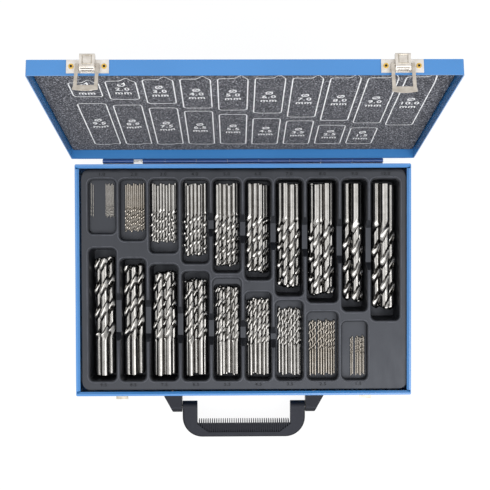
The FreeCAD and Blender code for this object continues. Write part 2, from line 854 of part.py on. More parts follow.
def bracket_rivet_places():
    """(x, z) of the rivets that hold the handle brackets."""
    half = bracket_rivet_spacing / 2
    return [(side * bracket_centre(), handle_height + end * half)
            for side in (-1, 1) for end in (-1, 1)]


def handle_bracket(side):
    """Moulded bracket: tapers from its root on the wall to a round nose about the pivot."""
    plan = (
        (bracket_inner, base_front),
        (bracket_inner + bracket_root_width, base_front),
        (bracket_inner + bracket_tip_width, base_front - bracket_reach),
        (bracket_inner, base_front - bracket_reach),
    )
    low, high = handle_height - bracket_root_height / 2, handle_height + bracket_root_height / 2
    footprint = plan_prism([(side * x, y) for x, y in plan], low, high)
    nose = bracket_reach - pivot_reach
    x_low, x_high = sorted((side * bracket_inner, side * (bracket_inner + bracket_root_width)))
    profile = side_prism(((base_front, low), (base_front, high), (pivot_y, handle_height + nose),
                          (pivot_y, handle_height - nose)), x_low, x_high)
    profile = profile.fuse(cross_rod(nose, x_low, x_high, pivot_y, handle_height))
    pin_hole = cross_rod(handle_pin_radius, *sorted((side * bracket_inner, side * pin_outer())),
                         pivot_y, handle_height)
    rivet_holes = [depth_rod(bracket_rivet_radius, x, base_front - bracket_rivet_depth,
                             base_front, z) for x, z in bracket_rivet_places()]
    return footprint.common(profile).removeSplitter().cut([pin_hole] + rivet_holes)


def pin_outer():
    """Distance from the middle of the case to the outer end of a handle pin."""
    return bracket_inner + handle_pin_engagement


def handle_pins():
    """Two pins, fixed in the brackets, on which the handle swings."""
    pins = []
    for side in (-1, 1):
        ends = sorted((side * (arm_outer - handle_pin_engagement), side * pin_outer()))
        pins.append(cross_rod(handle_pin_radius, *ends, pivot_y, handle_height))
    return Part.makeCompound(pins)


def handle_bracket_rivets():
    """Rivets from inside the base's front wall into the brackets."""
    inner_y = base_front + steel
    rivets = []
    for x, z in bracket_rivet_places():
        head = depth_rod(bracket_rivet_head_radius, x, inner_y,
                         inner_y + bracket_rivet_head_height, z)
        shank = depth_rod(bracket_rivet_radius, x, base_front - bracket_rivet_depth, inner_y, z)
        rivets.append(head.fuse(shank).removeSplitter())
    return Part.makeCompound(rivets)


def handle_outline():
    """Outer outline of the handle: open at the pivots, with large round outer corners."""
    half = arm_outer
    low = handle_height - handle_thickness / 2
    bend = handle_front + handle_corner_radius
    run = half - handle_corner_radius
    middle = handle_corner_radius * math.sqrt(0.5)
    left = [Vector(-half, bend, low), Vector(-run - middle, bend - middle, low),
            Vector(-run, handle_front, low)]
    right = [Vector(run, handle_front, low), Vector(run + middle, bend - middle, low),
             Vector(half, bend, low)]
    edges = [
        Part.LineSegment(Vector(-half, pivot_y, low), left[0]).toShape(),
        Part.Arc(*left).toShape(),
        Part.LineSegment(left[2], right[0]).toShape(),
        Part.Arc(*right).toShape(),
        Part.LineSegment(right[2], Vector(half, pivot_y, low)).toShape(),
        Part.LineSegment(Vector(half, pivot_y, low), Vector(-half, pivot_y, low)).toShape(),
    ]
    return Part.Wire(edges)


def grip_area(z_low, z_high):
    """Trapezium between the arms in which the grip is ribbed."""
    inner = arm_outer - arm_width
    core = handle_front + grip_depth
    outer = handle_front + grip_band
    points = ((-inner, core + rib_length), (-inner, core), (-inner + grip_taper, outer),
              (inner - grip_taper, outer), (inner, core), (inner, core + rib_length))
    return plan_prism(points, z_low, z_high)


def grip_ribs():
    """Comb of thin ribs across the grip, reaching in towards the case."""
    inner = arm_outer - arm_width
    count = int(2 * inner / rib_pitch)
    low = handle_height - handle_thickness / 2 + rib_inset
    high = handle_height + handle_thickness / 2 - rib_inset
    core = handle_front + grip_depth
    combs = []
    for index in range(count):
        x = (index - (count - 1) / 2) * rib_pitch
        combs.append(box((x - rib_thickness / 2, handle_front + grip_band, low),
                         (x + rib_thickness / 2, core + rib_length, high)))
    return Part.makeCompound(combs).common(grip_area(low, high))


def handle():
    """Moulded handle: two arms, a grip with large round corners and a comb of ribs."""
    blank = Part.Face(handle_outline()).extrude(Vector(0, 0, handle_thickness))
    outer_edges = [edge for edge in blank.Edges
                   if edge.BoundBox.ZLength < 1e-6 and edge.CenterOfMass.y < pivot_y - 1e-3]
    blank = blank.makeFillet(handle_edge_round, outer_edges)
    low = handle_height - handle_thickness / 2
    high = handle_height + handle_thickness / 2
    inner = arm_outer - arm_width
    window = box((-inner, handle_front + grip_depth, low), (inner, pivot_y, high))
    recesses = [grip_area(high - grip_recess, high), grip_area(low, low + grip_recess)]
    body = blank.cut([window] + recesses)
    ends = []
    bores = []
    for side in (-1, 1):
        x_low, x_high = sorted((side * inner, side * arm_outer))
        ends.append(cross_rod(handle_thickness / 2, x_low, x_high, pivot_y, handle_height))
        seat = sorted((side * arm_outer, side * (arm_outer - handle_pin_engagement - bracket_gap)))
        bores.append(cross_rod(handle_pin_radius + handle_pin_play, *seat, pivot_y, handle_height))
    body = body.fuse(ends).cut(bores)
    return body.fuse(grip_ribs().Solids).removeSplitter()


def build():
    """All nodes by name."""
    nodes = {
        "base_shell": base_shell(),
        "tray": tray(),
        "hinge_leaf_base": hinge_leaf_base(),
        "hinge_pin": hinge_pin(),
        "hinge_leaf_lid": hinge_leaf_lid(),
        "lid_shell": lid_shell(),
        "foam_pad": foam_pad(),
        "latch_eyelets": latch_eyelets(),
        "catch_rivets": catch_rivets(),
        "handle": handle(),
        "handle_pins": handle_pins(),
        "handle_bracket_rivets": handle_bracket_rivets(),
    }
    for name, side, bail_rest in (("left", -1, bail_rest_left), ("right", 1, bail_rest_right)):
        nodes["latch_plate_" + name] = latch_plate(side)
        nodes["latch_pivot_" + name] = latch_pivot(side)
        nodes["latch_lever_" + name] = latch_lever(side)
        nodes["latch_bail_pin_" + name] = latch_bail_pin(side)
        nodes["latch_bail_" + name] = latch_bail(side, bail_rest)
        nodes["catch_" + name] = catch(side)
        nodes["handle_bracket_" + name] = handle_bracket(side)
    for pocket in pockets():
        nodes[drill_name(pocket[0][0])] = drill_group(pocket)
    return nodes


def main():
    """Write one STEP file for each node."""
    os.makedirs("parts", exist_ok=True)
    for name, shape in build().items():
        shape.exportStep(f"parts/{name}.step")
        print(f"{name:26s} solids {len(shape.Solids):3d} volume {shape.Volume:10.1f}")


main()
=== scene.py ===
"""Looks of a steel carrying case full of twist drills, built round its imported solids."""

import json
import logging
import math
import random
from dataclasses import dataclass
from enum import Enum
from typing import Any, Iterable

import bmesh
import bpy
from mathutils import Matrix, Vector, noise


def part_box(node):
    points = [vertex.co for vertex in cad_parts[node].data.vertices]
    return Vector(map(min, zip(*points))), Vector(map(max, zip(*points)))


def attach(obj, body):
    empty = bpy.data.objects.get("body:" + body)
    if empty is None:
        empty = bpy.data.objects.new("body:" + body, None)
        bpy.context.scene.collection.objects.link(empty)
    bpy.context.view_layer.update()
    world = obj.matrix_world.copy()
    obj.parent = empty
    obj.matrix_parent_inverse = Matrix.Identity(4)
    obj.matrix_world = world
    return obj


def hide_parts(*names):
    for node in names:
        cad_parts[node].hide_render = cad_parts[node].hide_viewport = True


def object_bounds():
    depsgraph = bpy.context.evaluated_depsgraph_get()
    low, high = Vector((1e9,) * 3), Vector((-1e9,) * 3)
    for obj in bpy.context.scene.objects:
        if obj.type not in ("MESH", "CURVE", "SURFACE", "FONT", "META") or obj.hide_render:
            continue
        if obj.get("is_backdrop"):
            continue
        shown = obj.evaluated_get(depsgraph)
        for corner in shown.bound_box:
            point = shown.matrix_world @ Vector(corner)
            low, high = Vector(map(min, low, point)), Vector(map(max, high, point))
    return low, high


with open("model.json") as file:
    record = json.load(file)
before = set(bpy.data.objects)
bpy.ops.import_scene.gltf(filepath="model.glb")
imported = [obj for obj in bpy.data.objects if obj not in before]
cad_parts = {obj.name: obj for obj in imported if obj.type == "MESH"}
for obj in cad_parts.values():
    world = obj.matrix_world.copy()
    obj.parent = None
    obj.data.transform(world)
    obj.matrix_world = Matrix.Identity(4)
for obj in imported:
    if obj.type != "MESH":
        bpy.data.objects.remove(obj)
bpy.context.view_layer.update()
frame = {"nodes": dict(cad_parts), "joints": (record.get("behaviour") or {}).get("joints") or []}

Tree = bpy.types.NodeTree
Socket = bpy.types.NodeSocket
Node = bpy.types.Node

MM = 0.001
# A noise value hardly ever leaves this part of the range from 0 to 1.
NOISE_SPAN = {"From Min": 0.3, "From Max": 0.7}
# Corners closer than this are one corner of a solid.
SAME_CORNER = 0.02 * MM
# Flute length by diameter, both in millimetres, in the standard series of jobber drills.
FLUTE_LENGTHS = {1.0: 12, 1.5: 18, 2.0: 24, 2.5: 30, 3.0: 33, 3.5: 39, 4.0: 43, 4.5: 47, 5.0: 52,
                 5.5: 57, 6.0: 57, 6.5: 63, 7.0: 69, 7.5: 69, 8.0: 75, 8.5: 75, 9.0: 81,
                 9.5: 81, 10.0: 87}
log = logging.getLogger("drill_case")


class Row(Enum):
    """The two rows of pockets, named for the side that their shank ends face."""

    REAR = "rear"
    FRONT = "front"


class Tone(Enum):
    """Clear and clouded colour of a drill's steel: as ground, warmed in grinding, or grey."""

    BRIGHT = ("#9F9D9A", "#82807C")
    WARM = ("#928D86", "#7A7164")
    GREY = ("#93908C", "#75726D")


def to_linear(code: str) -> tuple[float, float, float, float]:
    """Turn an sRGB hex colour into Blender's linear values.

    Args:
        code: colour such as "#3E4045".

    Returns:
        Red, green, blue and an alpha of 1.
    """
    levels = [int(code[i:i + 2], 16) / 255 for i in (1, 3, 5)]
    linear = [c / 12.92 if c <= 0.04045 else ((c + 0.055) / 1.055) ** 2.4 for c in levels]
    return (*linear, 1.0)


def add_node(tree: Tree, kind: str, inputs: dict[str | int, Any] | None = None,
             stops: Iterable[tuple[float, str]] = (), **settings: Any) -> Node:
    """Add a shader node with its settings, constants and links.

    Args:
        tree: node tree of the material or world.
        kind: Blender's name for the node type, without "ShaderNode".
        inputs: what each input gets, by name or number: a value, a socket to link from, or a
            node whose first output is linked.
        stops: position and hex colour of each stop, from low to high, on a colour ramp.
        settings: attributes of the node.

    Returns:
        The new node.
    """
    node = tree.nodes.new(f"ShaderNode{kind}")
    for name, value in settings.items():
        setattr(node, name, value)
    for key, value in (inputs or {}).items():
        source = value.outputs[0] if isinstance(value, Node) else value
        if isinstance(source, Socket):
            tree.links.new(source, node.inputs[key])
        else:
            node.inputs[key].default_value = source
    for index, (position, code) in enumerate(stops):
        elements = node.color_ramp.elements
        element = elements[index] if index < len(elements) else elements.new(position)
        element.position = position
        element.color = to_linear(code)
    return node


def per_metre(blotch_mm: float) -> float:
    """Noise scale at which one blotch is blotch_mm across."""
    return 1 / (blotch_mm * MM)


def seen_rays(tree: Tree) -> Node:
    """Tell the rays that show a background from those that light the object.

    Args:
        tree: node tree of the material or world.

    Returns:
        Node that gives 1 for camera, glossy and transmission rays, and 0 for others.
    """
    path = add_node(tree, "LightPath").outputs
    mirrored = add_node(tree, "Math", {0: path["Is Camera Ray"], 1: path["Is Glossy Ray"]},
                        operation="MAXIMUM")
    return add_node(tree, "Math", {0: mirrored, 1: path["Is Transmission Ray"]},
                    operation="MAXIMUM")


@dataclass(frozen=True)
class Finish:
    """A surface finish: a name and the recipe for its material."""

    name: str

    def material(self) -> bpy.types.Material:
        """Find this finish's material, or make it the first time that it is asked for.

        Returns:
            The material.
        """
        found = bpy.data.materials.get(self.name)
        if found:
            return found
        made = bpy.data.materials.new(self.name)
        made.use_nodes = True
        tree = made.node_tree
        tree.nodes.clear()
        where = add_node(tree, "TexCoord").outputs["Object"]
        add_node(tree, "OutputMaterial", {"Surface": self.recipe(tree, where)})
        return made

    def recipe(self, tree: Tree, where: Socket) -> Node:
        """Fill the node tree.

        Args:
            tree: node tree of the material.
            where: coordinates fixed to the piece, in metres.

        Returns:
            The shader to show.
        """
        raise NotImplementedError


@dataclass(frozen=True)
class BakedEnamel(Finish):
    """Stoving enamel sprayed on sheet steel and baked: even gloss with a faint orange peel."""

    colour: str = "#3B7AB7"
    shade: str = "#3675B1"
    gloss: float = 0.24
    haze: float = 0.015
    drift_mm: float = 60
    dust_mm: float = 30
    peel_mm: float = 1.5
    peel_depth_mm: float = 0.004

    def recipe(self, tree: Tree, where: Socket) -> Node:
        """Fill the node tree.

        Args:
            tree: node tree of the material.
            where: coordinates in metres.

        Returns:
            The shader to show.
        """
        # Film thickness drifts over a hand's width, which shows as a slow change of blue.
        drift = add_node(tree, "TexNoise", {"Vector": where, "Scale": per_metre(self.drift_mm),
                                            "Detail": 1.0})
        tone = add_node(tree, "ValToRGB", {"Fac": drift},
                        ((0.3, self.colour), (0.75, self.shade)))
        # Fine dust in the film dulls the gloss a little, in patches.
        dust = add_node(tree, "TexNoise", {"Vector": where, "Scale": per_metre(self.dust_mm)})
        rough = add_node(tree, "MapRange", {"Value": dust, **NOISE_SPAN, "To Min": self.gloss,
                                            "To Max": self.gloss + self.haze})
        # Orange peel is about 1.5 mm across and a few microns high.
        peel = add_node(tree, "TexNoise", {"Vector": where, "Scale": per_metre(self.peel_mm)})
        relief = add_node(tree, "Bump", {"Height": peel, "Distance": self.peel_depth_mm * MM})
        return add_node(tree, "BsdfPrincipled", {
            "Base Color": tone, "Roughness": rough, "IOR": 1.5, "Normal": relief,
            "Coat Weight": 0.5, "Coat Roughness": 0.2})


@dataclass(frozen=True)
class PlatedSteel(Finish):
    """Bright nickel on pressed steel: pale and warm, slightly cloudy, with fine handling marks."""

    colour: str = "#E2DED9"
    cloud: str = "#CDC7BF"
    roughness: float = 0.4
    polished_by: float = 0.06
    dulled_by: float = 0.1
    cloud_mm: float = 5
    mark_mm: float = 0.3
    mark_depth_mm: float = 0.004

    def recipe(self, tree: Tree, where: Socket) -> Node:
        """Fill the node tree.

        Args:
            tree: node tree of the material.
            where: coordinates in metres.

        Returns:
            The shader to show.
        """
        cloud = add_node(tree, "TexNoise", {"Vector": where, "Scale": per_metre(self.cloud_mm),
                                            "Detail": 3.0})
        tone = add_node(tree, "ValToRGB", {"Fac": cloud},
                        ((0.35, self.colour), (0.75, self.cloud)))
        # Press marks run across the parts about 0.3 mm apart.
        across = add_node(tree, "Mapping", {"Vector": where, "Scale": (0.15, 1, 1)})
        marks = add_node(tree, "TexNoise", {"Vector": across, "Scale": per_metre(self.mark_mm)})
        rough = add_node(tree, "MapRange", {"Value": marks, **NOISE_SPAN,
                                            "To Min": self.roughness - self.polished_by,
                                            "To Max": self.roughness + self.dulled_by})
        relief = add_node(tree, "Bump", {"Height": marks, "Distance": self.mark_depth_mm * MM})
        return add_node(tree, "BsdfPrincipled", {"Base Color": tone, "Metallic": 0.85,
                                                 "Roughness": rough, "Normal": relief})


@dataclass(frozen=True)
class GroundSteel(Finish):
    """High-speed steel, ground all over: bright, with fine grinding lines round it."""

    tone: Tone = Tone.BRIGHT
    roughness: float = 0.14
    dulled_by: float = 0.08
    cloud_mm: float = 7
    line_mm: float = 0.3
    line_depth_mm: float = 0.001

    def recipe(self, tree: Tree, where: Socket) -> Node:
        """Fill the node tree.

        Args:
            tree: node tree of the material.
            where: coordinates in metres.

        Returns:
            The shader to show.
        """
        cloud = add_node(tree, "TexNoise", {"Vector": where, "Scale": per_metre(self.cloud_mm),
                                            "Detail": 3.0})
        bright, dim = self.tone.value
        colour = add_node(tree, "ValToRGB", {"Fac": cloud}, ((0.4, bright), (0.85, dim)))
        # Grinding lines are far too fine to show, so they are drawn 0.3 mm apart along the axis.
        along = add_node(tree, "Mapping", {"Vector": where, "Scale": (0.2, 0.2, 1)})
        lines = add_node(tree, "TexNoise", {"Vector": along, "Scale": per_metre(self.line_mm)})
        rough = add_node(tree, "MapRange", {"Value": lines, **NOISE_SPAN,
                                            "To Min": self.roughness,
                                            "To Max": self.roughness + self.dulled_by})
        relief = add_node(tree, "Bump", {"Height": lines, "Distance": self.line_depth_mm * MM})
        return add_node(tree, "BsdfPrincipled", {"Base Color": colour, "Metallic": 1.0,
                                                 "Roughness": rough, "Normal": relief})


@dataclass(frozen=True)
class EyeletBrass(Finish):
    """Brass-plated eyelet, rolled over: yellow with darker, duller patches."""

    colour: str = "#F0CB6C"
    tarnish: str = "#C79C48"
    polished: float = 0.22
    dulled: float = 0.4
    tarnish_mm: float = 0.8
    rub_mm: float = 0.4
    dent_mm: float = 0.5
    dent_depth_mm: float = 0.01

    def recipe(self, tree: Tree, where: Socket) -> Node:
        """Fill the node tree.

        Args:
            tree: node tree of the material.
            where: coordinates in metres.

        Returns:
            The shader to show.
        """
        patch = add_node(tree, "TexNoise", {"Vector": where,
                                            "Scale": per_metre(self.tarnish_mm)})
        tone = add_node(tree, "ValToRGB", {"Fac": patch},
                        ((0.35, self.colour), (0.7, self.tarnish)))
        rub = add_node(tree, "TexNoise", {"Vector": where, "Scale": per_metre(self.rub_mm)})
        rough = add_node(tree, "MapRange", {"Value": rub, **NOISE_SPAN, "To Min": self.polished,
                                            "To Max": self.dulled})
        # Rolling over leaves dents about 0.5 mm across round the rim.
        dents = add_node(tree, "TexNoise", {"Vector": where, "Scale": per_metre(self.dent_mm)})
        relief = add_node(tree, "Bump", {"Height": dents, "Distance": self.dent_depth_mm * MM})
        return add_node(tree, "BsdfPrincipled", {"Base Color": tone, "Metallic": 1.0,
                                                 "Roughness": rough, "Normal": relief})


@dataclass(frozen=True)
class FormedStyrene(Finish):
    """Black polystyrene sheet, vacuum formed: a soft sheen over a fine stipple, with scuffs."""

    colour: str = "#131417"
    scuff: str = "#1D1E22"
    sheen: str = "#E9EEFA"
    polished: float = 0.34
    dulled: float = 0.5
    rub_mm: float = 9
    wave_mm: float = 15
    wave_depth_mm: float = 0.12
    stipple_mm: float = 0.8
    stipple_depth_mm: float = 0.008

    def recipe(self, tree: Tree, where: Socket) -> Node:
        """Fill the node tree.

        Args:
            tree: node tree of the material.
            where: coordinates in metres.

        Returns:
            The shader to show.
        """
        # Drills drag along their pockets, so scuffs are drawn out along Y.
        along = add_node(tree, "Mapping", {"Vector": where, "Scale": (1, 0.35, 1)})
        rub = add_node(tree, "TexNoise", {"Vector": along, "Scale": per_metre(self.rub_mm),
                                          "Detail": 5.0})
        tone = add_node(tree, "ValToRGB", {"Fac": rub}, ((0.4, self.colour), (0.8, self.scuff)))
        rough = add_node(tree, "MapRange", {"Value": rub, **NOISE_SPAN, "To Min": self.polished,
                                            "To Max": self.dulled})
        # The sheet draws thin as it is formed and keeps slow waves about 15 mm long.
        waves = add_node(tree, "TexNoise", {"Vector": where, "Scale": per_metre(self.wave_mm),
                                            "Detail": 1.0})
        swell = add_node(tree, "Bump", {"Height": waves, "Distance": self.wave_depth_mm * MM})
        # The sheet's stipple is about 0.4 mm and is drawn at 0.8 mm so that it shows.
        stipple = add_node(tree, "TexNoise", {"Vector": where,
                                              "Scale": per_metre(self.stipple_mm),
                                              "Detail": 1.0})
        relief = add_node(tree, "Bump", {"Height": stipple, "Normal": swell,
                                         "Distance": self.stipple_depth_mm * MM})
        return add_node(tree, "BsdfPrincipled", {
            "Base Color": tone, "Roughness": rough, "IOR": 1.55, "Normal": relief,
            "Specular Tint": to_linear(self.sheen)})


@dataclass(frozen=True)
class MouldedNylon(Finish):
    """Glass-filled nylon, injection moulded in a spark-eroded tool: dull charcoal grain."""

    colour: str = "#060608"
    bloom: str = "#0D0E11"
    sheen: str = "#E4E8FA"
    polished: float = 0.42
    dulled: float = 0.6
    bloom_mm: float = 12
    grain_mm: float = 0.6
    grain_depth_mm: float = 0.03

    def recipe(self, tree: Tree, where: Socket) -> Node:
        """Fill the node tree.

        Args:
            tree: node tree of the material.
            where: coordinates in metres.

        Returns:
            The shader to show.
        """
        # Glass fibre near the surface leaves a pale bloom in patches about 12 mm across.
        bloom = add_node(tree, "TexNoise", {"Vector": where, "Scale": per_metre(self.bloom_mm),
                                            "Detail": 4.0})
        tone = add_node(tree, "ValToRGB", {"Fac": bloom},
                        ((0.35, self.colour), (0.75, self.bloom)))
        # The eroded grain is 0.25 mm across, drawn at 0.6 mm so that it shows.
        grain = add_node(tree, "TexNoise", {"Vector": where, "Scale": per_metre(self.grain_mm)})
        rough = add_node(tree, "MapRange", {"Value": grain, **NOISE_SPAN,
                                            "To Min": self.polished, "To Max": self.dulled})
        relief = add_node(tree, "Bump", {"Height": grain, "Distance": self.grain_depth_mm * MM})
        return add_node(tree, "BsdfPrincipled", {
            "Base Color": tone, "Roughness": rough, "IOR": 1.4, "Normal": relief,
            "Specular Tint": to_linear(self.sheen)})


@dataclass(frozen=True)
class CellFoam(Finish):
    """Polyurethane foam, sliced from a block: charcoal, with a fine speckle of cut cells."""

    dark: str = "#232428"
    middle: str = "#3F4046"
    pale: str = "#A2A3AA"
    cell_mm: float = 1.3
    cell_depth_mm: float = 0.3

    def recipe(self, tree: Tree, where: Socket) -> Node:
        """Fill the node tree.

        Args:
            tree: node tree of the material.
            where: coordinates in metres.

        Returns:
            The shader to show.
        """
        # Cells are about 0.5 mm across, drawn at 1.3 mm so that the speckle shows.
        cells = add_node(tree, "TexNoise", {"Vector": where, "Scale": per_metre(self.cell_mm)})
        tone = add_node(tree, "ValToRGB", {"Fac": cells},
                        ((0.32, self.dark), (0.52, self.middle), (0.74, self.pale)))
        relief = add_node(tree, "Bump", {"Height": cells, "Distance": self.cell_depth_mm * MM})
        return add_node(tree, "BsdfPrincipled", {"Base Color": tone, "Roughness": 0.95,
                                                 "IOR": 1.35, "Normal": relief})


@dataclass(frozen=True)
class ScreenInk(Finish):
    """White ink screened on foam: chalky, broken where the cells are open."""

    colour: str = "#DCDDDF"
    broken: str = "#85868A"
    gap_mm: float = 1.1
    gap_depth_mm: float = 0.2

    def recipe(self, tree: Tree, where: Socket) -> Node:
        """Fill the node tree.

        Args:
            tree: node tree of the material.
            where: coordinates in metres.

        Returns:
            The shader to show.
        """
        # Gaps are as fine as the foam's cells, and are drawn at 1.1 mm so that they show.
        gaps = add_node(tree, "TexNoise", {"Vector": where, "Scale": per_metre(self.gap_mm),
                                           "Detail": 3.0})
        tone = add_node(tree, "ValToRGB", {"Fac": gaps}, ((0.3, self.broken), (0.5, self.colour)))
        relief = add_node(tree, "Bump", {"Height": gaps, "Distance": self.gap_depth_mm * MM})
        return add_node(tree, "BsdfPrincipled", {"Base Color": tone, "Roughness": 0.9,
                                                 "Normal": relief})


@dataclass(frozen=True)
class StudioPaper(Finish):
    """White paper sweep: pure white to the camera, with the object's soft shadow kept."""

    colour: str = "#F2F2F2"
    glow: float = 1.03
    glow_share: float = 0.9
    tooth_mm: float = 2
    tooth_depth_mm: float = 0.02

    def recipe(self, tree: Tree, where: Socket) -> Node:
        """Fill the node tree.

        Args:
            tree: node tree of the material.
            where: coordinates in metres.

        Returns:
            The shader to show.
        """
        # The paper's tooth is under 0.5 mm and is drawn at 2 mm, as a faint unevenness.
        tooth = add_node(tree, "TexNoise", {"Vector": where, "Scale": per_metre(self.tooth_mm)})
        relief = add_node(tree, "Bump", {"Height": tooth, "Distance": self.tooth_depth_mm * MM})
        paper = add_node(tree, "BsdfPrincipled", {"Base Color": to_linear(self.colour),
                                                  "Roughness": 0.9, "Normal": relief})
        glow = add_node(tree, "Emission", {"Color": (1, 1, 1, 1), "Strength": self.glow})
        share = add_node(tree, "Math", {0: seen_rays(tree), 1: self.glow_share},
                         operation="MULTIPLY")
        return add_node(tree, "MixShader", {0: share, 1: paper, 2: glow})


ENAMEL = BakedEnamel("baked_enamel_on_steel")
HINGE_ENAMEL = BakedEnamel("baked_enamel_on_hinge", "#2B4E8C", "#24437C", 0.34)
PIN_STEEL = PlatedSteel("drawn_bright_wire", "#E2E0DC", "#C9C6C0", 0.22)
NICKEL = PlatedSteel("nickel_on_pressed_steel")
STRIP_ZINC = PlatedSteel("zinc_on_bent_strip", "#CBC4BA", "#AFA69A", 0.42)
FOLDED_NICKEL = PlatedSteel("nickel_on_folded_steel", "#D3CEC7", "#BEB7AE", 0.55)
ZINC = PlatedSteel("zinc_on_pressed_steel", "#B4ACA0", "#8F8779", 0.38)
BRASS = EyeletBrass("rolled_eyelet_brass")
STYRENE = FormedStyrene("vacuum_formed_styrene")
# Painted shade: the raised numbers are the tray's own styrene, drawn darker and with a duller
# sheen to stand for shade.
SHADED_STYRENE = FormedStyrene("figures_in_styrene", "#040405", "#070708", "#9A9CA2")
# Painted highlight: the beads are the tray's own styrene, drawn lighter to stand for the light
# that their round tops catch.
BEAD_HIGHLIGHT_STYRENE = FormedStyrene("rubbed_styrene_edge", "#3A3B40", "#55565C")
NYLON = MouldedNylon("moulded_nylon")
# Painted shade: near-black discs that stand for the shade inside the eyelets' bores.
BORE_SHADE_PAINT = MouldedNylon("unlit_eyelet_bore", "#030303", "#060606")
FOAM = CellFoam("sliced_cell_foam")
INK = ScreenInk("screened_white_ink")
PAPER = StudioPaper("white_paper_sweep")


def new_piece(name: str, mesh: bpy.types.Mesh, finish: Finish, body: str) -> bpy.types.Object:
    """Link a mesh as a piece that rides on a body.

    Args:
        name: name of the piece.
        mesh: its mesh, in the object's own frame.
        finish: its surface finish.
        body: CAD body that carries it.

    Returns:
        The new object.
    """
    piece = bpy.data.objects.new(name, mesh)
    bpy.context.scene.collection.objects.link(piece)
    mesh.materials.clear()
    mesh.materials.append(finish.material())
    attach(piece, body)
    log.info("%s: %d faces on %s", name, len(mesh.polygons), body)
    return piece


def mesh_from(name: str, points: list[Vector], faces: list[tuple[int, ...]],
              sharp_degrees: float = 35.0) -> bpy.types.Mesh:
    """Mesh with smooth faces and sharp edges above an angle.

    Args:
        name: name of the mesh.
        points: corners in metres.
        faces: corner numbers of each face.
        sharp_degrees: angle above which an edge stays sharp.

    Returns:
        The new mesh.
    """
    mesh = bpy.data.meshes.new(name)
    mesh.from_pydata([tuple(p) for p in points], [], faces)
    mesh.validate()
    mesh.shade_smooth()
    mesh.set_sharp_from_angle(angle=math.radians(sharp_degrees))
    return mesh


def around(angle: float, radius: float) -> Vector:
    """Place at an angle and a radius in the XY plane."""
    return Vector((radius * math.cos(angle), radius * math.sin(angle), 0))


def box_round(points: Iterable[Vector]) -> tuple[Vector, Vector]:
    """Lowest and highest corner of the box round some places.

    Args:
        points: the places.

    Returns:
        The two corners.
    """
    columns = list(zip(*points))
    return Vector(min(column) for column in columns), Vector(max(column) for column in columns)


def lid_turn() -> Matrix:
    """Find how the lid opens.

    Returns:
        Matrix that turns a place on the shut lid to where the open lid holds it.
    """
    hinge = next(joint for joint in frame["joints"] if joint["name"] == "lid_hinge")
    pivot = Vector(hinge["pos_m"])
    angle = math.radians(hinge["range_deg"][0])
    turn = Matrix.Rotation(angle, 4, "X")
    return Matrix.Translation(pivot) @ turn @ Matrix.Translation(-pivot)


def islands(node: str) -> list[list[Vector]]:
    """Corner points of each separate solid in a CAD node.

    Args:
        node: name of the node.

    Returns:
        One list of points for each solid, from left to right.
    """
    work = bmesh.new()
    work.from_mesh(frame["nodes"][node].data)
    bmesh.ops.remove_doubles(work, verts=work.verts, dist=SAME_CORNER)
    # A dictionary keeps the corners in order, so every run adds them up alike.
    left = dict.fromkeys(work.verts)
    found = []
    while left:
        stack = [left.popitem()[0]]
        points = []
        while stack:
            corner = stack.pop()
            points.append(corner.co.copy())
            for edge in corner.link_edges:
                other = edge.other_vert(corner)
                if other in left:
                    del left[other]
                    stack.append(other)
        found.append(points)
    work.free()
    return sorted(found, key=lambda points: [round(total, 4) for total in sum(points, Vector())])


def text_mesh(text: str, size: float, widen: float, raised: float = 0.0, bold: float = 0.02,
              spacing: float = 1.15) -> bpy.types.Mesh:
    """Mesh of a short centred text in the XY plane.

    Args:
        text: what it says.
        size: type size in metres.
        widen: stretch along X.
        raised: thickness in metres.
        bold: growth of the strokes, as a share of the size.
        spacing: distance between letters, where 1 is the type's own.

    Returns:
        The new mesh.
    """
    curve = bpy.data.curves.new("lettering", "FONT")
    curve.body = text
    curve.size = size
    curve.align_x = "CENTER"
    curve.align_y = "CENTER"
    curve.offset = bold * size
    curve.space_character = spacing
    curve.extrude = raised / 2
    curve.resolution_u = 3
    holder = bpy.data.objects.new("lettering", curve)
    bpy.context.scene.collection.objects.link(holder)
    bpy.context.view_layer.update()
    mesh = bpy.data.meshes.new_from_object(holder.evaluated_get(
        bpy.context.evaluated_depsgraph_get()))
    bpy.data.objects.remove(holder)
    bpy.data.curves.remove(curve)
    mesh.transform(Matrix.Diagonal((widen, 1, 1, 1)))
    return mesh


